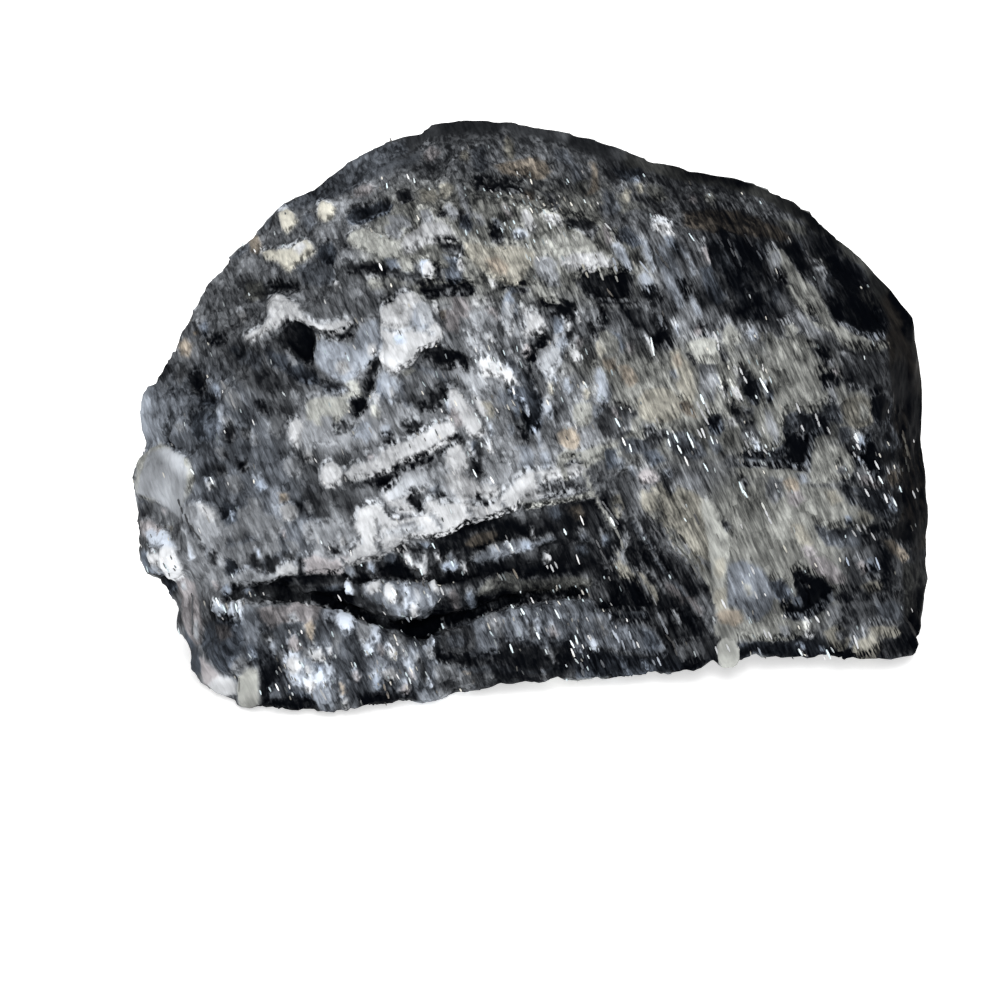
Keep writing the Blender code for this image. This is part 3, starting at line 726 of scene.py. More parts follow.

# %% The right half
# where warm grey mica runs in fibres
# its first rows paint the strip along the right edge dark: painted shade where the side turns from
# the light
part_of_face("right", calm=0.05, frayed=0.75, rows="""
8 tan 893,412 900,404 924,404 936,440 940,480 940,545 918,548 902,540 898,520 902,500 900,470
    896,440
13 905,546 940,545 940,590 934,640 928,660 908,658 903,640 900,615 902,590 900,565
26 tan 1.3 903,430 906,444 910,458
20 872,545 886,548 900,560 902,580 890,590 876,585 870,565
86 cool 671,323 676,320 680,330 677,333 673,329
60 cool 655,312 659,312 667,325 664,327
60 pink 691,324 697,321 700,328 694,331
12 698,323 708,321 717,330 713,336 702,335
72 warm 690,336 700,333 712,334 717,342 719,352 716,358 704,360 694,358 685,348 684,340
80 warm 694,338 706,337 712,346 704,352 696,348
7 686,348 689,347 694,357 691,359
96 white 1.5 713,331 717,341 718,349
62 warm 718,326 728,319 739,326 741,338 728,341 720,338
72 warm 723,341 731,340 733,347 727,350
70 cool 744,328 751,323 757,330 755,337 748,337
55 cream 757,328 761,328 762,336 758,336
14 718,348 724,348 726,356 720,356
57 cream 667,346 678,343 685,356 691,372 695,388 691,401 682,397 676,384 669,366
66 tan 672,352 678,350 682,360 676,362
60 cool 667,367 673,365 678,374 672,375
34 694,360 712,360 716,376 712,398 700,394 696,376
64 cool 1.5 715,374 720,384
100 white 716,383 720,382 725,391 721,393
92 white 729,362 733,360 738,369 735,371
96 white 1.4 740,369 747,382
5 cool 737,365 745,366 751,374 757,376 759,386 758,397 754,402 748,400 744,392 741,383 744,378
8 721,379 726,381 729,392 725,393
100 white 729,385 734,383 738,391 742,397 738,398 733,392
96 white 1.5 736,386 742,399
56 735,372 741,372 742,380 737,381
96 cool 760,375 763,376 767,387 769,396 765,394 761,384
14 blue 767,383 772,388 771,397 766,397
9 731,398 736,404 738,412 746,416 753,416 753,421 742,421 733,418 729,408
30 738,402 750,404 752,412 742,412
20 tan 676,398 684,396 693,404 695,412 686,411 680,405
66 cream 660,398 670,397 674,408 665,412
12 640,437 650,430 660,425 667,424 665,432 654,439 644,443
6 blue 705,416 714,411 722,416 723,426 716,432 707,429
80 white 725,415 729,413 734,421 732,425 728,422
76 white 1.6 697,402 703,415 708,424
80 white 1.4 704,402 710,415
100 white 1.5 700,425 705,437
86 white 1.4 697,430 701,438
16 680,448 692,446 702,452 698,458 686,456
56 warm 769,402 778,399 785,412 785,430 781,447 772,449 763,430 759,412
66 762,404 768,406 776,424 778,440 772,440 764,420
34 740,422 752,420 760,432 750,438 740,434
16 cool 784,411 796,406 808,411 820,407 829,416 830,427 818,431 812,438 800,440 788,438 782,430
25 cool 742,447 756,448 770,447 783,439 790,450 776,457 758,458 744,459
4 cool 783,438 795,434 806,439 811,442 808,451 808,462 805,469 798,464 780,462 760,462 742,462
    742,459 755,458 772,457 786,454 789,447
43 792,427 798,422 804,429 803,435 796,436
34 cool 788,409 796,407 799,418 791,417
84 white 1.5 795,403 799,412
86 white 1.4 800,424 804,432
80 white 1.4 815,413 820,427
70 white 1.3 827,427 830,434
2 2.5 738,459 758,459 780,462 803,465
96 cool 748,438 754,434 759,438 761,446 755,448 751,445
64 white 1.4 744,441 752,455
80 white 1.3 761,446 767,454
52 warm 733,464 750,463 770,464 790,465 804,469 808,478 796,481 780,475 760,473 740,473
60 cool 794,470 802,470 807,478 799,479
56 tan 781,478 788,473 797,478 797,486 788,487
12 736,475 744,473 748,481 741,484
82 warm 740,485 743,484 747,494 743,496
58 warm 809,450 812,444 822,441 836,441 848,446 851,456 853,466 846,474 834,477 820,479 808,479
    806,470 808,462
68 warm 812,448 822,446 827,458 818,464 811,458
66 warm 826,450 838,450 842,460 832,464
26 836,462 842,461 845,469 839,471
17 cool 821,402 834,400 843,408 839,419 826,419
43 cream 842,394 858,391 870,398 873,410 870,421 858,425 846,421 839,408
54 warm 856,398 866,402 868,416 860,418
4 cool 873,393 882,389 890,400 893,416 886,427 876,421 872,408
22 cool 880,426 896,426 902,442 894,452 882,446
30 cool 836,422 848,424 850,438 840,438
2 cool 850,447 857,454 866,449 868,437 876,440 880,450 879,460 885,468 878,475 866,471 862,461
    856,463 852,457
90 blue 854,432 859,430 865,440 863,450 858,445
100 white 1.6 852,434 857,443 861,450
46 blue 863,430 868,430 871,440 866,441
74 white 1.3 853,453 856,459
100 white 859,460 863,460 868,468 862,469 860,464
96 white 1.4 875,462 879,470
38 tan 887,466 896,465 901,476 892,482 885,474
76 white 1.3 886,466 890,474
50 pink 857,474 864,471 872,475 881,478 880,485 868,483 860,481
90 white 1.4 869,475 873,483
84 white 1.3 858,473 861,480
12 cool 842,481 856,484 870,486 884,484 900,486 906,500 900,513 886,515 874,511 862,502 850,500
    842,492
30 848,486 856,488 862,498 854,498
92 white 1.5 864,488 868,495
100 white 1.7 883,495 886,503
60 blue 886,498 892,496 898,505 892,508 885,504
86 white 1.3 911,490 915,498
38 cream 1.5 901,430 905,442 908,456
26 warm 1.3 905,458 908,472
54 warm 778,500 786,490 800,484 820,482 836,485 843,496 850,504 862,507 872,512 868,521 856,523
    844,525 838,533 830,539 818,541 806,535 796,525 786,514
62 pink 786,490 796,485 803,494 796,502 787,500
64 cream 820,486 834,485 840,496 828,500
60 warm 806,500 818,502 826,516 814,518
58 cream 854,507 866,507 872,514 860,518
56 blue 842,511 848,511 851,521 845,521
34 cool 812,520 824,524 830,534 818,536
34 768,470 780,476 782,492 772,500 764,488
92 warm 1.5 761,503 765,511
88 white 1.5 765,510 771,523
62 cream 790,519 800,519 807,530 813,541 800,541 792,531
73 pink 799,543 808,539 815,546 813,554 803,554
84 cream 1.3 783,544 787,552
20 cool 818,531 832,526 848,524 860,528 860,542 840,543 822,541
5 858,530 870,531 880,529 892,523 905,527 917,525 917,543 896,544 880,539 860,543
72 white 1.3 857,524 861,531
66 white 1.3 862,525 865,530
70 white 1.3 852,531 856,537
70 white 1.3 871,533 875,540
34 tan 880,534 892,536 901,544 907,552 900,559 890,549
62 tan 898,548 904,545 909,552 905,559 898,557
5 880,546 888,550 893,562 891,579 884,575 880,562
44 blue 862,558 868,553 875,562 877,569 866,569
60 pink 855,558 861,555 867,566 862,572
84 blue 1.4 846,558 849,566
84 blue 1.3 875,558 879,569
52 pink 804,556 816,551 828,557 838,565 847,576 838,581 826,577 814,569
68 pink 815,562 822,561 824,568 817,569
62 pink 834,572 842,571 844,579 836,579
3 cool 790,571 800,565 808,570 818,575 829,583 833,594 827,603 818,609 806,615 792,617 781,613
    786,604 794,598 796,586 792,578
30 3.5 803,581
36 blue 791,592 800,591 801,600 793,601
13 blue 767,577 778,575 789,584 791,594 782,601 772,592
47 cool 724,560 740,556 756,562 768,574 772,590 770,606 756,612 740,606 726,600
62 warm 741,579 748,579 750,592 743,592
36 cool 756,576 764,582 764,598 756,594
100 white 1.6 721,600 725,608
88 white 1.4 751,567 754,574
80 white 1.4 755,591 758,598
36 cool 742,604 758,608 760,616 744,616
51 warm 741,616 760,616 780,618 796,617 805,622 798,635 784,639 768,639 752,635 741,628
60 776,620 788,622 790,634 780,634
96 white 1.6 805,616 809,622
96 white 1.6 815,616 819,622
100 white 802,626 807,623 812,630 811,634 805,633
11 blue 738,640 752,638 770,640 790,640 810,637 824,642 840,644 851,648 853,659 830,660 800,658
    770,658 745,658 738,652
62 pink 799,650 804,649 809,656 803,657
76 white 820,653 826,650 832,657 826,660
62 cool 1.4 758,648 761,656
86 white 1.4 763,630 766,638
86 white 1.4 767,631 771,639
40 821,604 832,599 843,604 847,612 838,619 826,617
5 829,592 845,588 860,590 876,586 892,583 902,588 890,595 876,597 860,597 842,599
37 cream 859,582 870,575 883,580 881,587 868,589
6 861,570 876,568 890,572 886,578 868,576
30 842,599 860,596 874,602 872,612 858,614 844,612
13 3.5 853,607
11 839,613 850,611 860,614 858,621 842,621
14 867,614 880,612 884,618 870,620
29 cool 874,598 888,596 902,602 900,614 886,616 876,610
44 cream 821,628 832,621 843,625 848,634 845,643 834,645 825,639
7 834,627 840,625 846,630 842,636 835,634
51 cream 866,624 880,620 896,622 903,626 899,633 884,633 870,631
61 cream 849,640 858,633 868,630 878,634 879,644 870,651 858,653 849,649
96 white 1.6 855,636 859,648
12 882,637 896,634 904,628 912,618 920,640 919,650 905,658 890,658 881,648
13 warm 903,560 924,556 924,600 918,640 906,620 902,590
36 blue 885,651 890,649 894,657 888,658
""")

# %% The middle right
# where the white gives way to fibres of warm grey
part_of_face("middle right", calm=0.1, frayed=0.6, rows="""
50 cream 655,478 670,480 690,488 705,498 712,515 716,540 714,560 704,556 694,548 684,540 674,530
    664,520 658,505
44 warm 640,500 655,500 664,520 655,524 645,512
58 cream 638,486 650,482 656,492 658,504 652,510 642,508 637,498
74 pink 635,470 644,464 654,466 659,476 650,481 640,481
60 cool 660,468 668,464 673,472 665,477
13 661,474 670,475 675,484 670,491 663,484
18 640,480 648,481 650,487 643,487
64 cream 682,525 692,528 700,540 703,554 694,551 686,540
62 cream 664,500 672,502 682,518 688,530 680,530 670,514
68 cream 2 652,484 662,498 672,516
60 cream 1.8 676,494 690,516
8 1.8 678,531 685,542
24 1.6 694,512 700,524
42 warm 696,560 708,562 714,580 716,600 708,598 700,582
26 cool 618,436 634,434 650,440 644,452 630,450 618,446
24 blue 640,448 656,446 664,458 650,462
34 cool 664,430 684,428 700,440 706,452 692,456 676,450 666,442
48 cool 672,438 682,438 690,450 682,454
58 cool 688,440 696,438 702,448 696,454
50 cool 704,436 714,434 722,446 714,452
22 722,452 734,454 744,460 734,464 722,460
""")

# %% [markdown]
# ## The pale band and the cracks under it
# A band of feldspar and white quartz climbs across the face. Below it the stone has split along its
# layers, and the cracks between them are black. The cracks are carved in the CAD stone, so these
# strokes only darken them, painted shade over the black schorl, and keep their lips pale.

# %% The band
# the great pale band that climbs across the face
part_of_face("band", calm=0.25, frayed=0.55, rows="""
30 318,484 336,488 360,486 382,492 380,504 364,502 352,516 340,526 322,520 312,504
50 330,504 344,508 350,520 338,522 328,514
62 316,522 336,520 352,524 354,540 344,552 326,558 312,548
12 325,546 336,545 342,549 334,553 326,552
88 white 339,536 343,534 346,540 343,543 339,541
74 pink 300,556 314,552 330,556 346,552 356,560 344,570 328,573 312,571
85 white 352,522 358,508 366,501 376,502 384,508 392,516 400,516 410,514 420,514 426,508 432,502
    445,501 456,500 464,498 472,503 480,503 492,498 500,492 506,484 514,476 524,470 536,468 548,468
    562,462 576,460 584,466 574,474 558,476 546,479 536,484 541,492 536,496 524,498 518,506 506,511
    492,517 480,521 468,521 458,528 446,534 434,536 424,536 414,534 404,538 396,545 386,552 374,558
    362,560 350,566 338,568 342,558 354,544 358,534
77 white 384,500 382,492 390,487 398,482 408,477 418,472 426,470 430,478 424,488 412,490 404,496
    400,502 394,505 386,504
74 440,472 452,468 466,472 474,482 478,492 474,500 464,498 452,500 444,494 438,484
60 cool 426,474 434,474 440,484 436,492 428,486
84 white 454,480 464,482 470,494 462,500 454,494
93 white 426,516 432,506 446,502 458,502 470,506 478,512 470,520 458,526 444,532 430,530 424,524
91 white 360,512 368,505 376,508 374,520 376,530 384,540 376,548 366,550 358,540 360,528
89 white 502,494 508,484 518,476 530,474 534,482 526,490 516,498 506,504
76 white 388,544 402,538 410,540 398,548 386,556 374,560
62 382,528 396,526 410,524 420,522 424,525 410,529 395,531 384,532
40 375,519 378,519 378,527 382,533 379,535 375,528
15 382,506 388,508 392,514 400,513 402,517 394,517 386,513
66 386,504 394,506 400,511 392,512
10 437,497 442,495 448,498 444,501 438,501
85 white 481,486 488,483 494,487 495,493 488,497 482,495
8 474,497 484,498 492,499 486,503 476,503
72 warm 520,499 540,497 562,494 590,488 592,494 570,499 545,503 524,506
10 541,485 555,482 572,479 584,482 572,488 556,491 543,493
64 1.5 548,483 550,491
60 1.5 562,481 564,489
58 2.2 398,524 412,520
46 2 352,528 362,540
60 2.4 430,512 440,524
56 2 466,506 474,516
62 2.2 412,502 418,512
52 2 500,500 506,510
60 2.2 536,472 542,484
50 2 376,540 382,550
66 warm 2.4 560,464 566,476
40 2 340,556 348,566
""")

# %% The pearls
# pale grains gathered above the band
part_of_face("pearls", calm=0.15, rows="""
72 warm 305,401 318,394 332,393 345,397 350,403 345,411 338,419 326,424 314,423 306,416
70 300,427 308,424 316,430 318,442 310,449 301,446
62 320,414 331,414 335,424 330,432 321,428
24 336,426 345,424 356,427 356,431 344,433 336,431
60 341,434 350,432 354,441 350,449 342,447
60 cool 359,419 368,418 372,430 366,441 359,434
76 cool 380,423 387,420 391,430 387,437 381,434
8 378,437 388,435 398,438 396,442 384,441
9 402,423 412,421 424,424 422,431 410,432 402,429
66 396,405 404,404 411,411 407,417 398,415
74 warm 368,403 375,401 380,409 378,416 370,413
68 cool 378,371 388,368 394,378 393,390 386,397 379,388
84 white 388,386 392,384 396,394 392,397
34 402,374 416,368 432,372 444,380 440,392 428,402 414,406 404,396
7 429,390 440,386 450,390 446,398 436,406 429,402
62 448,368 456,364 468,372 476,382 470,386 458,380
86 white 447,390 456,388 464,397 472,407 480,419 484,431 476,437 467,429 457,417 449,404
58 pink 450,404 458,412 462,424 455,426 449,416
78 white 470,391 478,394 486,408 484,416 476,408
86 white 392,446 408,439 422,430 436,422 450,420 457,428 452,437 440,445 426,453 410,459 396,461
    388,456
70 white 344,471 352,463 364,459 378,457 392,455 400,456 398,465 386,471 372,475 358,478 348,478
78 white 321,464 330,461 339,466 341,477 334,486 324,486 319,476
82 white 446,450 456,446 466,452 468,464 460,472 450,468
80 386,490 396,481 408,476 420,471 432,469 440,476 432,484 418,487 406,492 396,498 388,498
68 white 442,474 454,468 466,472 476,480 484,488 478,496 464,494 450,490
54 484,464 492,460 498,468 496,480 490,484 484,476
18 476,440 484,446 488,458 480,462 474,452
80 white 396,503 408,499 422,500 436,497 438,504 424,510 408,512 396,510
10 410,492 417,490 424,498 423,510 416,510 409,502
64 495,462 508,460 516,470 512,484 500,486
70 498,436 506,434 514,446 508,454 500,450
""")

# %% The seams
# black seams under the band, and the strips of grey mica between them
# the seams are black schorl darkened with painted shade in the cracks; their whitest dots are
# painted glints
part_of_face("seams", calm=0.2, frayed=0.25, rows="""
4 446,538 452,532 462,528 470,524 480,523 492,519 504,514 516,512 530,509 545,506 562,504 580,500
    594,498 596,524 580,528 560,531 545,534 530,534 518,532 505,530 495,527 480,530 468,533 456,538
    446,545
26 tan 462,544 470,536 480,531 492,528 500,532 496,540 484,544 472,548
24 514,514 522,511 528,520 522,524
22 blue 548,506 558,504 564,516 556,522 550,516
20 530,508 538,507 544,516 538,518
18 tan 566,506 580,503 586,516 576,520
90 white 530,529 533,529 535,536 532,538
50 blue 418,540 428,540 432,546 424,548
5 400,546 412,548 428,548 444,546 460,548 470,556 450,552 438,552 420,552 404,556
46 cool 470,562 474,556 488,548 494,544 504,542 514,538 524,537 532,540 540,538 552,534 558,538
    548,543 536,546 528,550 518,552 508,556 500,560 490,560 480,564
62 cool 490,549 496,546 502,552 498,558 491,558
84 white 2 508,543 513,551
78 white 1.5 495,544 499,551
64 blue 520,540 528,539 530,546 522,548
4 390,560 400,556 404,566 412,572 420,578 432,578 440,574 452,572 462,574 474,570 486,566 500,562
    512,560 524,556 536,556 545,564 560,568 576,566 594,562 592,574 575,574 560,576 545,574 530,574
    515,570 500,572 488,575 474,578 460,582 444,584 430,582 415,582 400,580 388,578 378,574 384,566
36 blue 383,556 390,551 397,556 395,564 386,565
95 blue 367,562 371,561 375,569 373,573 368,568
70 cool 344,566 352,565 356,572 350,576 344,572
6 300,578 322,574 335,577 350,577 362,574 376,576 380,580 366,583 350,582 335,584 318,586 300,588
70 white 1.5 401,541 407,551
100 white 404,550 408,551 412,558 416,566 412,568 408,563 404,558
96 white 417,562 421,560 425,566 428,573 423,576 419,570
92 white 422,553 425,552 428,560 425,563
100 white 434,553 438,552 441,560 437,562
52 cool 445,552 451,551 454,557 448,561
74 blue 440,563 448,560 456,560 459,566 452,570 442,571
92 white 460,562 464,562 468,570 464,574 461,569
100 white 543,553 548,552 552,560 548,563 544,561
88 white 1.5 550,564 553,571
80 white 1.3 555,562 558,568
48 cool 362,594 364,584 380,579 395,580 410,580 430,582 442,588 440,600 434,610 425,616 410,618
    400,614 384,606 372,602
28 361,606 368,603 378,608 376,616 364,614
97 cool 344,581 348,578 353,588 353,594 347,595 344,588
30 cool 354,580 360,584 360,592 355,590
92 white 364,585 370,583 376,579 381,581 380,590 372,593 366,593
100 white 383,586 389,583 394,588 397,597 394,602 388,601 384,595
95 cool 402,586 406,583 410,591 407,596 403,593
100 white 409,604 413,600 417,605 418,612 412,615 409,610
86 cool 402,600 406,600 408,610 404,611
12 396,600 401,594 404,600 400,606
64 412,586 417,588 420,600 415,600
94 white 428,582 434,580 439,588 438,594 432,590
84 cool 427,595 431,595 435,604 431,606
88 white 1.5 440,587 443,594
66 cool 1.5 404,612 409,621
42 pink 448,590 454,587 460,598 460,611 453,611 449,602
57 blue 464,592 470,588 476,596 477,606 470,609 465,600
37 warm 478,588 486,578 498,574 508,570 516,574 520,580 534,580 548,578 562,576 580,575 596,578
    594,586 575,588 560,590 545,592 530,592 515,592 500,592 488,594 478,596
52 warm 484,580 490,579 494,590 488,593
55 tan 1.5 513,570 517,579
1 226,594 250,596 280,599 310,600 340,603 356,606 364,612 376,618 384,622 398,622 410,622 424,620
    436,614 450,616 466,612 480,610 496,606 510,602 530,596 560,592 584,588 588,594 560,598 540,600
    520,604 506,608 492,613 478,617 462,620 446,624 436,630 430,640 420,640 408,636 400,630 388,626
    376,624 362,620 350,612 330,608 300,606 270,604 245,602 226,602
""")

# %% The slab
# the slab below the long crack
# its pale beads are painted brightest as highlights, and a blue patch beside them is a painted
# shadow
part_of_face("slab", calm=0.1, frayed=0.45, rows="""
24 blue 205,622 215,618 240,618 243,640 238,652 232,664 224,670 214,662 206,652 202,640
30 pink 214,622 228,622 232,634 220,638
100 cool 212,607 217,600 222,601 225,610 220,616 214,613
92 cool 225,609 230,604 234,607 236,616 229,619
94 cool 228,599 231,599 234,606 231,606
90 cool 237,608 241,605 244,614 241,619 237,615
52 blue 2 214,617 226,621 240,621
42 cool 244,601 250,604 258,620 263,636 256,648 246,640 241,622
42 pink 256,606 270,604 286,605 300,604 312,602 320,606 318,616 308,622 298,618 284,620 270,626
    260,618
60 286,612 294,610 298,618 290,619
90 white 1.5 307,603 309,608
62 tan 303,622 310,617 315,622 313,630 312,641 306,635
18 cool 285,624 296,621 300,630 293,635 286,631
9 260,630 270,629 274,636 266,641 260,638
44 230,660 238,654 247,656 252,665 240,669 232,671
36 blue 245,642 252,642 260,652 254,660 247,656
74 blue 250,651 255,650 257,656 251,658
60 cool 268,642 273,640 277,648 274,654 269,650
34 276,648 284,650 286,664 280,670 274,658
72 pink 287,636 293,632 299,638 302,646 294,651 287,645
48 300,648 310,642 316,646 308,656 302,658
8 cool 262,662 270,655 279,661 281,672 275,684 268,694 262,700 260,680
16 262,701 284,700 310,696 318,704 290,708 264,708
40 cool 267,691 274,685 281,688 280,697 271,699
46 cool 304,660 316,656 326,660 330,668 320,674 306,674
52 cool 282,654 290,649 300,652 306,662 303,672 294,675 285,670
98 white 286,657 292,653 299,656 302,664 298,670 290,670 285,664
56 cool 284,672 296,672 308,670 320,667 332,662 335,674 328,686 313,692 298,689 288,683
97 cool 289,673 297,671 302,677 299,684 292,682
100 white 304,677 311,674 316,680 312,688 305,687
95 cool 315,671 322,669 327,676 323,684 317,682
88 cool 326,662 331,663 332,671 328,675 325,669
34 cool 302,656 308,655 313,664 310,670 304,668
86 white 307,655 313,649 319,645 323,650 325,658 318,661 312,659
80 white 325,644 329,645 333,654 329,656
72 white 304,661 308,661 311,671 306,672
26 blue 312,661 320,660 324,665 317,668
46 blue 3 288,688 300,692 312,692
58 cool 313,690 322,686 331,692 334,702 324,705 315,700
78 white 1.5 320,690 326,700
62 tan 337,680 342,679 346,691 341,692
76 white 340,697 345,694 349,703 344,706
30 cool 330,626 346,634 358,640 362,660 356,680 348,690 338,676 334,654
28 330,628 338,632 342,646 336,652 330,642
64 cool 320,609 328,605 334,612 333,619 325,618
100 cool 333,618 338,612 348,611 354,616 355,623 350,629 345,633 339,628
52 356,618 366,620 370,634 362,644 356,634
34 cool 364,656 384,652 400,640 416,642 424,652 418,668 420,684 404,696 386,690 370,694 360,684
72 cool 369,630 374,625 379,632 377,640 371,641
86 cool 361,643 366,638 373,644 372,651 364,653
92 white 385,647 391,643 397,651 396,658 389,657
54 pink 376,642 381,641 385,652 380,654
20 cool 336,640 348,642 358,652 360,668 350,664 340,656
18 cool 384,676 396,678 398,688 386,692
34 386,630 398,632 408,640 400,648 388,642
60 399,644 403,643 407,654 402,655
82 cool 403,659 408,655 413,663 411,670 405,667
62 white 380,668 389,664 397,670 395,678 385,679
74 pink 350,670 355,667 359,674 357,680 352,677
72 blue 371,676 376,672 381,682 379,689 373,685
68 pink 397,686 404,681 411,684 409,692 401,694
72 pink 406,668 411,667 416,678 411,679
58 412,652 418,650 422,660 416,664
18 418,660 424,661 427,677 422,681 419,672
60 423,646 430,644 436,653 428,657
100 cool 429,636 432,636 435,645 432,646
97 cool 427,679 430,678 433,686 429,687
50 tan 1.5 384,684 388,698
18 358,694 374,692 390,696 388,704 362,706
24 440,628 455,624 470,624 476,634 474,646 466,654 452,656 442,650 438,640
37 cool 444,634 456,630 466,636 462,645 450,646
76 white 441,622 444,621 447,631 444,632
4 433,648 442,652 456,656 470,656 480,660 472,666 452,665 440,662
50 434,664 442,662 452,664 461,670 463,680 450,683 437,677
46 tan 462,668 470,669 475,682 466,685
38 cool 470,622 484,616 496,611 510,606 524,602 540,599 556,597 572,596 574,636 556,638 540,638
    524,636 508,634 496,638 496,652 486,653 478,645 474,632
57 484,616 496,612 504,622 500,632 490,628
62 cool 508,608 513,606 520,621 524,636 518,639 511,622
66 cool 521,607 526,606 531,618 526,620
28 526,622 532,620 536,634 530,638
100 cool 536,623 538,621 541,629 540,635 536,632
62 pink 547,624 553,623 558,634 551,637
60 cool 552,602 557,601 562,617 557,619
60 563,600 568,599 573,611 567,613
34 496,622 504,632 502,640 496,636
6 498,640 512,640 528,644 545,646 572,644 574,664 550,664 540,668 520,667 505,664 490,660 480,665
    474,660 490,656 498,652
50 547,650 550,649 557,661 553,663
16 470,671 482,670 495,668 510,672 540,672 560,670 574,668 574,680 540,684 510,688 490,690 474,690
34 434,668 450,668 470,672 472,688 456,694 436,698
44 483,670 490,669 496,679 488,682
55 540,672 544,671 548,679 543,680
""")

# %% The foot
# the smooth cream lobes at the lower left corner
part_of_face("foot", calm=0.8, frayed=0.1, rows="""
32 blue 186,628 196,642 202,656 202,670 196,675 190,668 190,650
62 pink 200,656 206,658 214,665 222,674 218,684 208,682 202,672
81 white 210,682 220,674 232,677 238,682 238,692 228,693 220,692
76 warm 238,674 246,667 258,667 260,680 260,700 250,702 241,698 238,690
60 warm 1 239,674 239,692
62 142,474 152,454 168,447 184,455 191,468 188,482 186,500 184,519 176,513 164,504 152,498 141,494
""")

# %% [markdown]
# ## The hollow of bare needles
# Beside the cracks lies a hollow where the schorl needles are bare, crossed by a few pale ones. The
# thinnest rows are under two wide, too fine to paint on this mesh, so they will be laid as slivers.

# %% The needles
# the black hollow of bare needles, with pale ones across it
part_of_face("needles", rows="""
9 590,500 600,505 615,514 630,512 645,514 655,520 662,532 672,545 682,556 692,568 700,580 708,590
    715,600 716,615 712,630 705,635 695,634 680,632 668,622 655,619 645,616 630,606 610,604 596,604
    590,596 590,575 594,560 590,540 588,520
26 blue 574,544 584,542 588,552 578,554
42 cool 577,532 584,529 589,536 586,541 579,539
40 blue 600,532 607,529 611,540 606,547 600,541
52 cream 608,550 616,548 624,556 632,566 642,572 650,580 646,588 636,580 624,574 614,566 608,560
66 cream 616,566 625,565 630,574 622,577
66 cream 631,570 640,570 647,580 640,583
52 cream 646,581 653,582 659,594 656,602 649,597
55 cream 612,494 618,491 622,502 624,514 616,516 611,508
34 pink 664,578 676,583 686,590 694,596 701,604 701,614 692,606 682,600 672,594 665,588
44 pink 673,587 680,590 684,600 677,600
29 cool 602,604 620,604 640,600 648,606 646,616 630,617 610,613
38 cool 640,600 645,600 649,612 644,614
2 614,584 632,580 642,582 648,590 652,598 650,604 640,603 625,601 612,600 611,590
4 602,548 612,545 618,556 612,562 604,560
3 640,545 650,540 660,552 668,566 676,576 672,582 660,574 650,566 642,556
4 682,562 692,568 702,580 710,592 706,598 696,590 686,578
4 668,602 680,606 690,612 694,622 690,635 676,631 668,620
2 690,612 699,618 706,628 702,635 694,634 688,624
3 592,600 612,598 636,603 652,604 650,608 620,606 600,612 592,610
5 610,616 630,618 650,616 661,618 654,624 630,624 612,621
66 warm 2.4 583,470 590,487 598,502 607,515 614,526
54 warm 1.8 614,526 620,538 622,548
50 2 590,470 597,485 601,496
60 624,528 628,530 627,545 625,555 630,561 622,562 618,556 624,545
44 2 636,518 646,538 656,554
38 1.3 648,516 662,538 676,556
36 2 628,562 640,578 650,596
34 cream 2.2 662,520 676,544 690,562 700,578
32 cool 2 654,556 668,574 684,592
30 2 604,560 612,578 620,594
36 1.3 596,540 604,556 612,572
40 warm 1.3 672,540 686,556 698,574
30 2 640,560 652,574 664,590
42 1.4 600,500 610,512 618,524
28 2 686,600 698,614 710,626
58 white 1 652,595 656,604
60 672,612 677,611 681,619 678,625 673,619
50 cool 1.8 658,612 667,634
26 678,627 688,626 692,634 682,636
42 cool 574,598 590,596 600,606 606,614 616,620 640,622 652,626 660,636 668,650 664,656 650,652
    630,650 610,646 596,646 584,642 574,640
56 cool 563,600 570,600 578,616 572,618
54 592,614 600,614 608,632 602,636
56 cool 620,624 628,624 634,642 626,642
30 blue 640,626 652,630 660,644 650,650 642,640
60 cool 575,640 580,641 581,654 576,653
13 blue 574,652 600,650 630,654 660,658 676,656 690,660 712,655 717,662 700,670 670,673 640,674
    610,677 574,678
88 cool 587,637 592,637 599,647 596,651 590,646
100 cool 607,612 610,612 613,620 611,621
84 cool 1.3 611,630 615,638
84 cool 1.3 615,631 619,641
70 cool 1.2 621,640 624,650
74 cool 1.4 629,631 634,647
78 cool 1.3 656,656 660,665
60 cool 1.3 652,658 655,664
46 blue 621,660 625,660 629,671 624,671
52 blue 641,663 647,662 650,671 643,671
40 cool 1.8 580,662 585,675
38 cool 1.8 600,660 607,674
38 676,642 690,638 704,640 709,650 700,656 684,658 677,653
3 1.4 666,634 672,642 677,656
30 blue 687,662 693,662 695,669 688,669
17 2.2 652,534 668,558 684,580
15 2.4 664,536 682,562 700,588
16 2 612,578 622,596
14 2.2 622,584 636,602
18 2.2 696,594 712,620
16 cool 2.2 682,604 698,630
24 2 676,542 690,562 704,582
30 warm 2 668,528 682,546 694,560
24 cool 2 632,520 641,536
26 2 616,502 626,518
20 2 604,518 612,532
34 cool 2 642,530 652,548
22 2 656,604 666,624
28 cream 2 690,546 702,566
14 2.2 600,590 610,602
""")

# %% The spine
# a smooth pale ridge that runs down to the knob
part_of_face("spine", calm=0.5, frayed=0.3, rows="""
72 warm 699,502 708,497 714,505 718,516 724,527 730,538 729,550 726,560 726,575 725,592 725,612
    718,618 712,600 713,580 711,562 708,552 708,540 705,528 701,514
78 warm 711,529 719,526 727,535 728,546 722,554 713,550 709,540
68 cream 714,557 723,556 724,568 720,578 714,572
66 cream 714,588 725,586 726,604 719,614 713,600
15 721,519 727,520 729,527 724,530
60 tan 715,612 726,607 739,609 743,618 734,625 721,623
57 warm 713,622 728,622 737,628 736,642 722,640 714,634
16 700,640 712,638 718,646 716,656 704,654
""")

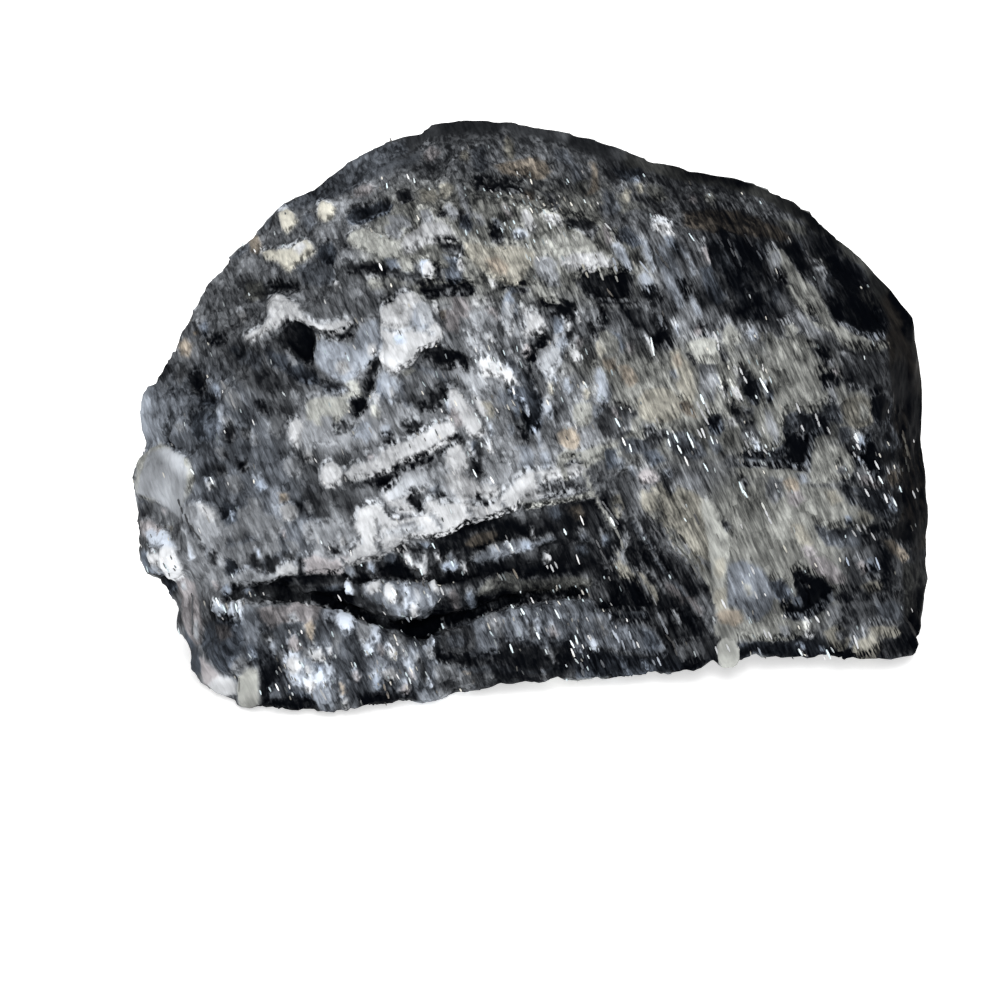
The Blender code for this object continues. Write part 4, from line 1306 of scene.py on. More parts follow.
# %% The knob
# one round pale grain at the foot of the spine
# its two white slivers are painted glints
part_of_face("knob", calm=0.9, frayed=0, rows="""
77 warm 717,644 724,637 732,640 738,648 739,656 734,663 727,667 719,663 717,652
90 white 1.3 726,645 729,652
92 white 1.3 715,647 719,656
""")

# %% [markdown]
# ## Glazes
# With the colours laid down, a painter steps back and lightens or darkens a place with a thin
# glaze. Each of these gives the percent of lightness that it adds, its reach on the chart, and its
# path. Adding one is less work than mixing a stroke again, and its soft edge never shows.

# %% The glazes
GLAZES = """
9 16 385,168 388,190; 20 15 340,208 346,226; 6 10 285,228; 7 8 381,232; -7 8 422,170;
-9 14 480,190 500,194; -12 12 541,188 545,202; -12 10 420,224; -17 9 493,218; -10 8 605,210;
-10 8 620,252; -8 7 648,245; -10 10 675,245; 12 12 633,186; 17 9 668,202 686,219; 14 10 465,232;
14 11 452,250 460,252; 14 10 574,280; 16 8 578,232; 26 10 344,261 362,256; 24 10 408,266 414,264;
6 10 300,262; 20 8 298,297; -22 13 394,300; -18 10 246,284 270,296; 14 11 475,308 480,345;
22 8 515,328; 18 9 655,276; 20 8 641,308 651,330; 8 8 620,328; -20 12 704,300; -5 8 540,290;
23 10 798,312 816,333; 7 8 780,298; 7 8 815,285; -6 10 860,280; -5 10 870,342; -7 8 795,345;
-6 10 765,345; 26 10 318,330; 7 10 258,335; 9 12 190,346; -13 10 235,350; -26 13 264,378;
-10 10 275,412 294,416; 19 11 352,370 358,358 372,354 386,362 382,378; 20 10 374,402; 9 8 395,420;
24 9 324,440; 12 6 290,442; 22 14 214,420; 12 10 185,405; 27 11 172,455 190,468; 14 8 196,490;
16 12 500,352 512,368 516,388; 8 12 474,386 460,398; 16 9 521,398; 7 10 574,396; 12 9 575,440;
6 10 592,426; 18 9 630,390; 24 12 710,380; 7 8 690,374; 7 8 785,420; -20 9 590,365; -16 14 640,350;
-8 8 662,340; -10 13 760,390 762,404; -12 8 515,412; -22 10 556,412; -5 8 410,400; -20 9 680,447;
-14 10 718,443 744,440; -22 10 814,440 819,466; -14 10 836,460; -20 10 852,446 885,458;
14 9 384,470; 24 10 365,492 386,500; 9 12 494,440; 22 7 274,490 276,510; 16 8 234,530;
9 11 290,528 296,545; 13 18 165,502 163,540; 15 9 183,558 194,590; -13 8 294,464; -6 8 275,455;
-22 9 299,508; -13 8 208,470; -5 8 255,530; -7 8 220,545; -12 6 250,575; -14 11 475,515;
-7 8 445,485; -22 9 502,509 530,495; -13 9 570,463; -10 12 605,500; -7 8 620,480; -22 12 664,500;
-7 12 740,485 756,495; -7 8 790,492; 14 11 520,510; 7 10 560,505; 13 9 641,482 641,510;
10 7 570,478; 5 8 680,480; -9 14 355,555; -10 9 380,545; -7 8 485,545; 8 9 410,550; 13 13 530,550;
5 9 460,560; -18 13 505,590; -13 11 532,580; -7 8 560,568; -11 14 440,605 478,596;
15 11 422,597 398,602; 14 8 335,584; 26 11 240,599 266,600; 12 18 300,610; 6 10 270,580;
22 9 588,578 599,592; 9 9 480,622; 13 8 395,637; 13 11 310,670; 12 9 320,645 350,655; 5 10 220,670;
-34 10 217,611 226,617; -6 8 355,600; -10 8 190,650; -6 8 250,660; -6 9 295,686;
-12 9 262,702 310,704; -14 9 366,700 410,696; 6 7 376,640 376,660; -8 18 550,630; -10 20 620,625;
-6 9 500,676 520,676; -9 10 562,670; -10 8 510,628; -14 10 690,664; -14 8 830,655 880,654;
14 8 660,621; 12 12 662,526 676,546; 15 8 704,596 710,612; 12 11 746,552 740,570; 7 10 760,540;
16 9 775,528; 10 8 735,520; 12 15 750,583 772,578; 9 13 790,558 790,590; 9 13 828,540;
6 10 850,545; 6 14 860,620; 12 9 740,640; -18 8 708,529 721,543; -8 8 765,612; -10 9 800,632;
-7 8 725,622 725,650; -6 10 850,580; -12 9 560,186 596,184; 10 25 290,625; 18 15 336,642;
14 11 334,690; 14 9 375,632 378,672; 25 9 426,702 446,698; 13 10 688,548 700,578;
15 9 704,600 706,628; -24 9 413,611; -8 10 430,236 440,248; -8 7 596,247; -14 8 540,350;
-10 9 497,468; -7 10 575,255; -9 9 500,284 512,298; -10 10 580,340 588,356; -10 8 540,285 545,300;
-9 9 595,312; 12 10 620,425 640,418; 10 9 655,455; 11 14 690,410 706,408; 8 14 605,540 640,530;
12 9 500,514 540,510; -8 12 400,450 420,442; -9 12 350,455; -10 9 432,474; -8 16 440,508 480,505;
-12 8 716,596; -12 12 900,372 904,398; -14 9 894,458; -10 11 878,515; -9 9 905,530; 10 8 800,390;
14 7 364,366 362,382; 8 14 430,380 440,400; -8 9 460,388 468,408; 8 9 250,262 212,282;
8 10 196,312; 8 10 184,352; 10 9 166,404; 24 10 143,388 144,426; -9 9 165,462;
-7 9 150,490 144,520; -7 9 310,520 335,530; 12 9 660,166 640,160; 10 9 346,160 366,156;
8 12 760,195 790,206; 9 12 330,235 322,248; 7 8 433,126; 8 8 510,128 562,133; 8 10 470,153;
10 8 372,190; 7 9 300,205 345,206; 9 8 398,271 416,273; 8 10 436,280; 10 7 458,258 468,280;
7 8 458,315; 22 9 275,353 284,360; 26 9 298,367; 15 11 160,429 222,429 262,431;
9 9 136,484 142,502; 13 8 284,445; 18 9 328,450 343,434; 9 7 358,291; 8 8 248,460; 10 8 229,500;
21 8 422,497; 9 7 318,524; 8 8 300,558 320,546; 10 7 203,681; 9 6 271,665; 9 7 305,662;
8 7 324,693; 9 9 396,686 412,670; 15 8 468,692 483,684; 17 9 450,590 480,585; 8 7 425,592;
5 14 425,548 450,545; 10 8 500,644; 8 8 462,624; 8 8 529,626; 15 10 417,418 430,431; 8 8 412,376;
7 9 430,350 445,345; 12 9 470,375 484,350; 14 8 490,383 505,380; 13 9 512,360 524,385 528,405;
14 9 512,460 530,455 560,449; 14 9 542,487 576,478; 7 15 545,508 592,520; 16 8 536,244 552,251;
8 8 514,254; 13 8 572,213 585,228 600,232; 9 6 530,205; 10 7 499,192; 8 8 586,283 612,290;
13 7 582,316 588,334; 13 8 622,228 641,243; 12 7 703,226; 9 9 628,178 646,190; 7 10 622,150;
8 7 650,306; 31 10 679,328 691,311; 16 8 706,322 719,338; 5 12 722,255; 5 10 750,225 790,228;
15 8 820,272 828,290; 8 9 848,246 868,268; 8 8 768,290 784,302; 9 7 706,390 674,388; 10 7 606,368;
10 7 628,403; 9 6 756,388; 10 7 692,481; 9 8 722,464 733,456; 17 8 783,536 786,512;
9 8 735,520 757,530; 13 9 675,545 686,560; 8 8 652,571; 14 7 735,592; 8 8 744,641;
11 7 568,680 590,680; 12 7 628,678 650,674; 8 9 904,558 906,610; 7 8 826,632 884,636;
-26 9 413,231; -15 9 448,196 473,200; -10 8 442,164 428,174; -14 9 506,216 526,224; -15 8 588,196;
-10 8 556,208; -10 8 582,162; -7 10 515,172 532,185; -15 8 275,250; -9 9 246,310 232,328;
-9 8 228,356 242,368; -16 8 274,388; -10 9 158,372 172,344; -13 7 305,400 308,415; -10 8 344,366;
-12 7 381,378; -8 14 365,342 402,356; -14 8 402,313; -11 7 448,384; -9 8 375,418; -9 8 470,412;
-15 9 502,436 508,460; -9 7 482,250 486,280; -12 8 538,264 548,277; -15 8 513,316; -10 7 482,324;
-21 7 570,334; -9 7 548,342; -15 9 602,250 622,260; -12 9 636,257 656,262; -19 8 669,257 680,246;
-9 6 634,292; -15 10 714,290 728,308 746,318; -15 8 655,356; -9 7 706,352; -10 8 772,341;
-19 8 803,358; -9 8 788,272 807,292; -9 8 878,344; -30 9 898,294 908,308 914,332;
-11 8 832,384 856,402; -9 7 887,389; -14 7 741,398; -9 8 768,405 774,428; -19 11 701,430 693,450;
-10 7 678,413; -12 7 648,396; -8 7 610,389; -11 7 830,424; -10 8 855,520; -21 8 676,514;
-6 7 610,506; -20 9 402,470 425,464 441,478; -19 8 463,470 481,484; -17 7 343,534;
-12 9 378,558 398,541; -11 9 292,568 350,567; -13 8 226,452; -9 8 262,542; -9 7 250,668;
-9 7 290,646 292,682; -8 8 345,610 372,622; -10 9 482,604 530,592 560,584; -11 10 592,608;
-13 9 578,636; -8 10 612,641; -13 8 707,571 717,582; -11 8 774,573; -8 8 868,572;
-25 9 917,596 920,640; -9 8 927,495; -11 8 690,170 720,172 748,181; -8 9 778,200 820,221;
10 9 186,443; 8 9 192,536; -11 8 202,466 211,486; 7 10 250,502 266,508; -12 8 250,576;
8 10 235,640 270,636; 9 9 326,586 345,580; 9 9 302,600 318,612; 11 8 203,678 232,672;
9 11 440,672 472,672; 14 8 424,686; 14 8 468,690; 10 9 430,702 448,700; 7 9 508,516 540,520;
9 12 515,556 530,556; 6 18 540,535 600,550; 8 20 640,530 670,560; -11 9 405,405;
7 8 408,374 424,382; 6 10 275,318 285,330; -9 9 378,284 400,300 406,318; -10 8 482,328 515,322;
9 7 488,302; 8 8 500,336 520,338; -12 9 536,356 545,340; -9 8 560,436; -9 8 550,470 575,464;
-9 8 570,376 584,380; -8 9 540,378; -9 8 600,328 602,334; -8 8 632,340; 8 9 655,290 652,312;
-10 8 672,268; -12 9 672,312 690,316; 9 9 684,344; 8 12 702,220 705,230; 6 12 728,262; 7 9 738,300;
-8 9 828,424; -13 9 826,428 838,436; -9 9 862,436 890,436; -9 9 776,346 800,340;
-10 8 742,396 776,390; 9 9 610,515 636,515; -9 8 606,506; -9 8 752,504 740,484;
-9 9 850,520 864,510; 6 9 770,548 750,552; 7 10 690,575; -9 9 430,614 480,606; 8 8 488,622;
7 9 410,652; 6 9 170,500 170,480; 8 8 190,308; -12 9 155,374 174,342; 10 8 406,178;
8 9 372,190 384,226; 5 12 355,205 335,240; -10 8 320,203; -7 9 490,210; 7 9 420,440 412,455;
-8 9 436,528; -8 9 360,500 290,506; -9 8 315,436 326,436; 8 8 330,448 345,450;
-8 8 340,542 320,546; 9 8 570,683 645,676; -9 9 610,222; -9 8 566,228 540,232; 8 8 542,158;
7 8 562,133; 9 7 365,372; 7 8 862,260; -8 8 725,628; -8 8 764,597; -9 8 904,495; 8 9 928,545;
9 8 402,516 436,517; 9 8 502,508 510,504; 9 8 335,501 352,498; 9 8 306,527 326,526;
9 8 334,557 344,556; 8 9 278,560 290,556; 7 10 215,560 225,558; 6 14 196,525 200,600;
9 8 134,474 140,500; 8 8 460,562; 13 10 580,440 592,436; 9 8 510,455; 9 8 532,342;
8 9 795,322 838,336; 8 8 702,640; 9 9 711,286; 9 8 804,222; 9 9 194,312;
5 14 350,165 380,146 425,136; 7 12 622,152; 7 9 846,250 868,268; -9 8 533,540;
-13 9 622,527 642,528; -7 12 655,508 675,522; -9 7 600,496 612,511; -10 8 516,420;
-9 7 318,440 334,438; -9 8 228,446 238,462; -9 8 446,380 456,390; -9 7 386,374 376,380;
-9 7 318,369; -9 8 354,597 376,600; -8 10 592,630; -10 8 570,345; -9 9 642,332 646,348;
-9 7 612,389; -9 8 692,500; -10 8 812,308; -9 7 888,388; -9 8 856,474 892,476; -9 8 271,305;
-9 7 364,230; -9 7 332,238; -6 8 368,522 376,546; -16 8 450,690; -20 8 251,700;
8 8 145,388 145,415; 8 11 188,632 214,655; 8 9 222,252 256,244; 9 8 308,662 328,686; -10 8 302,689;
7 14 505,640 552,648; 10 9 742,641 766,636; -9 9 450,690; -9 9 208,502 220,545;
-9 8 350,571 388,562; 9 8 382,547; 9 8 246,456 258,468; -10 8 303,440 296,466; 9 8 176,366 184,350;
-8 10 276,382; -8 9 345,366 360,352; 9 8 364,374; -8 9 388,304 408,326; 8 8 462,324;
8 10 398,264 416,280; 9 8 388,230; -9 8 426,236; 9 8 476,154; 8 8 564,133; 8 8 498,270;
9 7 656,279; -8 8 671,264 680,286; -11 8 668,420; 9 7 628,400; -8 7 648,397; -9 8 562,438 576,458;
-8 8 592,430; -7 9 500,416 520,420; 8 9 735,358 742,374; 8 7 761,350; 8 7 756,388;
-9 8 916,402 918,432; 8 8 920,368; 9 8 906,320; 9 9 910,602; 8 9 926,578; 8 9 824,550 846,556;
8 9 898,560; 7 8 730,515; 8 8 808,516; 8 9 680,486 700,480; 8 8 640,494; -7 10 670,560;
-8 8 652,597; 9 8 660,620; -8 8 632,642; -8 8 718,600; -9 8 620,671; -8 8 690,664; -9 8 728,648;
8 8 535,224; -8 8 545,430
"""


def read_glazes():
    """Each glaze as its shift of lightness, its reach and its path."""
    for glaze in GLAZES.replace("\n", " ").split(";"):
        shift, reach, *path = glaze.split()
        yield int(shift) / 100, float(reach), read_path(path)


print("strokes:", sum(map(len, STROKES.values())), "glazes:", len(list(read_glazes())))

# %% [markdown]
# ## Laying the strokes down
# A stroke with clean edges would look like paint. The minerals end in a fringe of needles instead.
# So each point looks its place up a little way off, by soft noise, and it does so twice: once up
# the grain and once down it. The finish will pick one or the other for each needle, which frays
# the edges far more finely than the mesh could.

# %% How fully a stroke covers a place
STROKE_CORE = 0.60  # the share of a stroke's half width that it covers fully
STROKE_EDGE = 1.30  # where it has faded out
PATCH_EDGE = 1.8  # how far a patch fades on each side of its outline, on the chart
FAR_OFF, TINY = 1e9, 1e-9  # these stand in for endless and for nought


def stroke_weight(places, path, half_width, core=STROKE_CORE, edge=STROKE_EDGE):
    """How fully a stroke, or a patch inside its outline, covers each place, from 0 to 1."""
    reach = half_width * edge + PATCH_EDGE
    near = np.all((places > path.min(0) - reach) & (places < path.max(0) + reach), axis=1)
    spots = places[near]
    best = np.full(len(spots), FAR_OFF)
    inside = np.zeros(len(spots), bool)
    ends = np.roll(path, -1, axis=0) if half_width == 0 or len(path) == 1 else path[1:]
    for start, end in zip(path, ends):
        step = end - start
        share = np.clip((spots - start) @ step / max(step @ step, TINY), 0.0, 1.0)
        best = np.minimum(best, np.hypot(*(spots - start - share[:, None] * step).T))
        spans = (start[1] > spots[:, 1]) != (end[1] > spots[:, 1])
        along = (spots[:, 1] - start[1]) / (step[1] or 1.0)
        inside ^= spans & (spots[:, 0] < start[0] + along * step[0])
    weight = np.zeros(len(places))
    if half_width:
        weight[near] = 1.0 - smooth(core, edge, best / half_width)
    else:
        weight[near] = smooth(-PATCH_EDGE, PATCH_EDGE, np.where(inside, best, -best))
    return weight


dot, spot = np.zeros((1, 2)), np.array([[3.0, 0.0]])
print("a dot of half width 4 covers a place 3 away by", stroke_weight(spot, dot, 4.0).round(2))

# %% Where each point of the skin looks for its strokes
FRAY = 6.5  # how far up and down the grain the two looks are, on the chart
SWAYS = ((2.5, (1.8, 0.8, 1.2), 0.0), (2.0, (0.8, 0.4, 0.6), 2.0))  # reach, size in mm, seed
SWAY_SEEDS = (3.0, 7.0)  # across the chart and down it


def drift(points, size, seed):
    """Soft noise from -1 to 1, at this size in mm along the grain frame."""
    scaled = points @ grain_frame().T / size + seed
    return np.array([noise.noise(Vector(p)) for p in scaled])


points = read(stone.data, "co")
face_points = to_face(points)
face_normals = read(stone.data, "normal") @ FACE_AXES.T
places = chart_places(face_points)
wander = np.stack([
    sum(reach * drift(face_points, size, seed + more) for reach, size, more in SWAYS)
    for seed in SWAY_SEEDS
], axis=1)
grain_on_chart = np.array((GRAIN[0], -GRAIN[1]))
print("the points wander by up to", np.abs(wander).max().round(1), "on the chart")

# %% Lay the strokes on the points of the skin
THIN = 2.0  # strokes with a half width under this are laid later, as slivers
BARE = 0.33  # lightness before the first stroke
GLAZE_CORE, GLAZE_EDGE = 0.1, 1.5  # a glaze fades much more softly than a stroke
GLAZE_SWAY = 0.5  # the share of the wander that a glaze follows
DARKEST = 0.02


def paint(places, fray):
    """Lightness, tint and calm at these places, after every stroke and glaze."""
    shade = np.full(len(places), BARE)
    tint = np.tile(np.array(TINTS["grey"]), (len(places), 1))
    calm = np.zeros(len(places))
    for name, strokes in STROKES.items():
        looked = places + (wander + fray * grain_on_chart) * FRAYED[name]
        for lightness, hue, half_width, path in strokes:
            if 0 < half_width < THIN:
                continue
            weight = stroke_weight(looked, path, half_width)
            shade += (lightness - shade) * weight
            tint += (hue - tint) * weight[:, None]
            calm += (CALM[name] - calm) * weight
    looked = places + GLAZE_SWAY * wander
    for shift, reach, path in read_glazes():
        shade += shift * stroke_weight(looked, path, reach, GLAZE_CORE, GLAZE_EDGE)
    return np.clip(shade, DARKEST, 1.0), tint, calm


shade_up, tint, calm = paint(places, -FRAY)
shade_down = paint(places, FRAY)[0]
shade = (shade_up + shade_down) / 2
in_view = face_normals[:, 2] > 0.3
print("mean lightness of the front:", shade[in_view].mean().round(3))

# %% Where the stone is fibrous, and where it is crisp
FIBRES_FROM, FIBRES_TO = 540, 680  # across the chart, lumps give way to fibres between these
FIBRES_BELOW, FIBRES_SOONER = 540, 0.6  # and sooner, further down than this
CRISP = 0.85  # how strong the fine streaks are
CRISP_PARTS = (  # chart place, reach, and how much crisper they are there
    (520, 240, 120, 0.6), (800, 550, 130, -0.55), (290, 640, 150, -0.25), (660, 570, 60, 0.25),
    (200, 470, 100, -0.15), (560, 350, 90, 0.12),
)


def nearness(places, x, y, reach):
    """1 at a chart place, fading out round it."""
    return np.exp(-((places - (x, y)) ** 2).sum(1) / reach**2)


lower_down = np.maximum(places[:, 1] - FIBRES_BELOW, 0.0)
fibrous = smooth(FIBRES_FROM, FIBRES_TO, places[:, 0] + FIBRES_SOONER * lower_down)
fibrous += (0.5 - fibrous) * (1.0 - smooth(-0.1, 0.2, face_normals[:, 2]))
crisp = np.full(len(places), CRISP)
for x, y, reach, change in CRISP_PARTS:
    crisp += change * nearness(places, x, y, reach)
print("fibrous share of the front:", fibrous[in_view].mean().round(2))

# %% [markdown]
# ## The sides and the back
# The strokes belong to the broad face. Round the sides and back the same layers run on through the
# stone, so there the lightness comes from noise that is drawn out flat along the layers. It is
# turned into a few plain tones with short steps between them, as seams of schorl and veins of mica
# are, and each crystal grain is a little lighter or darker than the next.

# %% The tones of the layers
LAYER_TONES = ((-0.6, -0.16, -0.05, 0.16, 0.24, 0.7), (0.04, 0.09, 0.24, 0.33, 0.56, 0.78))
LAYER_LENGTH = 3.0  # how far a layer is drawn out, across and out
GRAIN_SIZE = (2.0, 0.7, 0.7)  # one crystal grain, along the grain and across it, in mm
GRAIN_STEP = 0.3  # and how far apart the lightness of two grains may be
GRAIN_SEED = 97.0


def bedding(points):
    """How high each point lies in the stack of layers, in mm."""
    across, up, out = points.T
    climb = 0.34 - 0.26 * smooth(-6.0, 14.0, up)  # the layers climb to the right, less higher up
    return up - climb * np.minimum(across, 8.0) + 0.25 * out


def layer_noise(size, seed):
    """Soft noise that is drawn out flat along the layers, for each point of the skin."""
    return np.array([noise.noise(Vector(p)) for p in layers / size + seed])


layers = np.stack((face_points[:, 0] / LAYER_LENGTH, bedding(face_points),
                   face_points[:, 2] / LAYER_LENGTH), axis=1)
broad, narrow = layer_noise(3.6, 11.0), layer_noise(1.3, 17.0)
patches = drift(face_points, (14.0, 9.0, 9.0), 19.0)
cells = drift(face_points, (2.2, 1.0, 1.2), 23.0)
around = np.interp(0.8 * broad + 0.5 * narrow + 0.4 * patches + 0.3 * cells, *LAYER_TONES)
in_grain = face_points @ grain_frame().T / GRAIN_SIZE
grains = [noise.cell_vector(noise.voronoi(Vector(p))[1][0] * GRAIN_SEED)[0] for p in in_grain]
around = np.clip(around + GRAIN_STEP * (np.array(grains) - 0.5), 0.03, 0.9)
print("the layers' mean lightness:", around.mean().round(3))

# %% Let the layers take over round the sides
TURN = (-0.12, 0.16)  # they do between these, as the skin turns out from the face
warmth = smooth(-0.5, 0.5, drift(face_points, (9.0, 7.0, 7.0), 29.0))[:, None]
around_tint = np.array(TINTS["cool"]) * (1 - warmth) + np.array(TINTS["warm"]) * warmth
further = 0.3 * smooth(840, 880, places[:, 0])  # at the right the strokes reach further round
turned = 1.0 - smooth(*TURN, face_normals[:, 2] + further)
for field in (shade_up, shade_down, shade):
    field += (around - field) * turned
tint += (around_tint - tint) * turned[:, None]
calm *= 1.0 - turned
crisp += 0.3 * turned
print("mean lightness of the back:", shade[turned > 0.5].mean().round(3))

# %% [markdown]
# ## Splinters, grains and hollows
# Pale minerals stand a little proud and the black seams between them are hollow, because the
# softer mica breaks away first. On top of that the surface is all small splinters, each a flat
# chip tilted its own way and drawn out along the grain. Displace with a texture could do it, but
# moving the points in code lets the chips follow the strokes.

# %% The relief of the skin
HEIGHTS = ((0.0, 0.12, 0.40, 0.75, 1.0), (-0.55, -0.30, 0.0, 0.22, 0.35))  # lightness, then mm
CHIPS = ((1.7, 1.9, 0.16, 31.0), (0.85, 2.1, 0.10, 37.0))  # size, stretch, height, seed
CHIP_SEED = 97.0
NEEDLE_HEIGHT, NEEDLE_SIZE = 0.05, (1.5, 0.33, 0.6)  # of the finest ridges, in mm


def chips(points, size, stretch, seed):
    """Flat chips that tilt every way, drawn out along the grain: about -1 to 1."""
    local = points @ grain_frame().T / size
    local[:, 0] /= stretch
    relief = np.empty(len(points))
    for i, p in enumerate(local + seed):
        q = Vector(p)
        middle = noise.voronoi(q)[1][0]
        tilt = noise.cell_vector(middle * CHIP_SEED) * 2.0 - Vector((1.0, 1.0, 1.0))
        relief[i] = (q - middle).dot(tilt) * 1.4
    return relief


relief = np.interp(shade, *HEIGHTS)
for size, stretch, height, seed in CHIPS:
    relief += height * chips(face_points, size, stretch, seed) * (1.0 - 0.8 * calm)
relief += NEEDLE_HEIGHT * drift(face_points, NEEDLE_SIZE, 41.0) * (1.0 - calm)
print("relief in mm, from", relief.min().round(2), "to", relief.max().round(2))

# %% Calm the worn rims and let the outline out
RIM_GROWTH = 0.28  # how far the outline is let out, in mm
RIM_TOUCHES = (  # chart place, reach, and how much further out the rim stands there, in mm
    (906, 312, 24, 0.35), (922, 612, 28, 0.35), (160, 360, 22, 0.25), (928, 545, 20, -0.25),
    (192, 308, 18, -0.25),
)
on_foot = 1.0 - smooth(0.0, 0.8, points[:, 2] / MM)
bearing = np.degrees(np.arctan2(face_points[:, 1], face_points[:, 0]))
edge_on = 1.0 - smooth(0.2, 0.6, np.abs(face_normals[:, 2] - 0.1))
worn = edge_on * smooth(-50.0, -30.0, bearing) * (1.0 - smooth(135.0, 155.0, bearing))
relief *= (1.0 - on_foot) * (1.0 - 0.75 * worn)
leftward = smooth(-5.0, 5.0, -face_points[:, 0])
relief += RIM_GROWTH * (0.5 + 0.5 * leftward) * edge_on * (1.0 - on_foot)
for x, y, reach, touch in RIM_TOUCHES:
    relief += touch * nearness(places, x, y, reach) * edge_on * (1.0 - on_foot)
print("with the rims, from", relief.min().round(2), "to", relief.max().round(2))

# %% Move the points of the skin
FOOT_TOUCHES = (  # chart place, reach, and how far forward the foot's edge comes there, in mm
    (834, 657, 12, 1.4), (876, 657, 22, 1.3), (800, 657, 14, -0.6), (692, 664, 18, 1.1),
    (735, 662, 22, 0.5), (250, 702, 16, 1.1), (305, 706, 40, 0.7), (370, 706, 16, 0.9),
    (455, 697, 26, -1.0), (575, 682, 16, -0.5), (645, 677, 14, -0.9),
)
ABOVE_EDGE = (26.0, 2.0)  # the touch begins and is full this far above the edge, on the chart

moved = points + read(stone.data, "normal") * relief[:, None] * MM
for x, y, reach, touch in FOOT_TOUCHES:
    near = np.exp(-((places[:, 0] - x) / reach) ** 2)
    near = near * smooth(y - ABOVE_EDGE[0], y - ABOVE_EDGE[1], places[:, 1])
    moved[:, 1] -= touch * near * MM
moved[:, 2] = np.maximum(moved[:, 2], 0.0)
stone.data.vertices.foreach_set("co", moved.astype(np.float32).ravel())
stone.data.update()
print("furthest move, in mm:", (np.linalg.norm(moved - points, axis=1).max() / MM).round(2))

# %% Keep the paint on the mesh and shade it
SHARP_EDGE = math.radians(32)


def keep(mesh, name, kind, field, values):
    """Stores one value for each point of the mesh."""
    layer = mesh.attributes.new(name, kind, "POINT")
    layer.data.foreach_set(field, values.astype(np.float32).ravel())


for name, values in (("shade_up", shade_up), ("shade_down", shade_down), ("calm", calm),
                     ("fibrous", fibrous), ("crisp", crisp)):
    keep(stone.data, name, "FLOAT", "value", values)
keep(stone.data, "tint", "FLOAT_COLOR", "color", np.hstack((tint, np.ones((len(tint), 1)))))
select_only(stone)
bpy.ops.object.shade_smooth_by_angle(angle=SHARP_EDGE)
print("triangles in the skin:", sum(len(p.vertices) - 2 for p in stone.data.polygons))

# %% [markdown]
# ## The stone's finish
# Close up, every part of the face is streaked: needles and mica edges a quarter of a millimetre
# wide and a millimetre long. Noise on Object coordinates, turned to the grain and drawn out along
# it, lightens and darkens the strokes. The dark needles are glassy and the mica is satin, so
# roughness follows lightness.

# %% A short way to add nodes
class Nodes:
    """Adds nodes to one material and links them."""

    def __init__(self, name):
        self.material = bpy.data.materials.new(name)
        self.material.use_nodes = True
        self.tree = self.material.node_tree
        self.shader = self.tree.nodes["Principled BSDF"]

    def add(self, kind, inputs=(), **settings):
        node = self.tree.nodes.new(kind)
        for name, value in settings.items():
            setattr(node, name, value)
        for key, value in dict(inputs).items():
            self.put(node.inputs[key], value)
        return node

    def put(self, socket, value):
        if isinstance(value, bpy.types.NodeSocket):
            self.tree.links.new(value, socket)
        else:
            socket.default_value = value

    def attribute(self, name, output="Fac"):
        return self.add("ShaderNodeAttribute", attribute_name=name).outputs[output]

    def math(self, operation, a, b=0.0, c=0.0, clamp=False):
        node = self.add("ShaderNodeMath", {0: a, 1: b, 2: c}, operation=operation, use_clamp=clamp)
        return node.outputs[0]

    def vector_math(self, operation, a, b):
        return self.add("ShaderNodeVectorMath", {0: a, 1: b}, operation=operation).outputs[0]

    def mix(self, share, first, second):
        node = self.add(
            "ShaderNodeMix", {"Factor": share, "A": first, "B": second}, data_type="FLOAT")
        return node.outputs["Result"]


print("what Nodes can do:", [name for name in vars(Nodes) if name[0] != "_"])

# %% Patterns that follow the grain
GRAIN_AXES = grain_frame() @ FACE_AXES  # rows: the grain frame along X, Y and Z
GRAIN_TURN = Matrix(GRAIN_AXES.T.tolist()).to_euler()


def along_grain(n, where, size):
    """Coordinates turned to the grain and divided by a size along it, across it and out, in mm."""
    turned = n.add("ShaderNodeMapping", {
        "Vector": where, "Rotation": GRAIN_TURN, "Scale": Vector(size) * MM,
    }, vector_type="TEXTURE")
    return turned.outputs[0]


def grain_noise(n, where, size, detail=2.0):
    """Noise drawn out along the grain."""
    texture = n.add("ShaderNodeTexNoise", {
        "Vector": along_grain(n, where, size), "Scale": 1.0, "Detail": detail, "Roughness": 0.6,
    })
    return texture.outputs["Fac"]


def beads(n, where, size):
    """Rounded grains drawn out along the grain, each of its own grey and darker round its edge."""
    texture = n.add("ShaderNodeTexVoronoi", {"Vector": along_grain(n, where, size), "Scale": 1.0})
    own = n.add("ShaderNodeSeparateColor", {0: texture.outputs["Color"]}).outputs[0]
    return n.math("MULTIPLY", own, n.math("MULTIPLY_ADD", texture.outputs["Distance"], -0.9, 1.15))


print("the grain turns by", [round(math.degrees(a)) for a in GRAIN_TURN], "degrees")

# %% Make the stone's material
SCHORL = (0.0007, 0.0011, 0.0021)  # the blue-black of the bare tourmaline
PALEST = 0.72  # how much light the whitest quartz gives back
FINE, THREAD = (1.0, 0.16, 0.4), (2.4, 0.32, 0.8)  # sizes of the streaks, in mm
SMALL_BEADS, LARGE_BEADS = (1.1, 0.40, 0.5), (2.1, 0.95, 1.0)  # and of the grains
PICK_NEEDLES, PICK_GRAINS = (2.0, 0.22, 0.6), (0.9, 0.45, 0.6)  # and of what frays the edges
BEAD_MEAN = 0.40


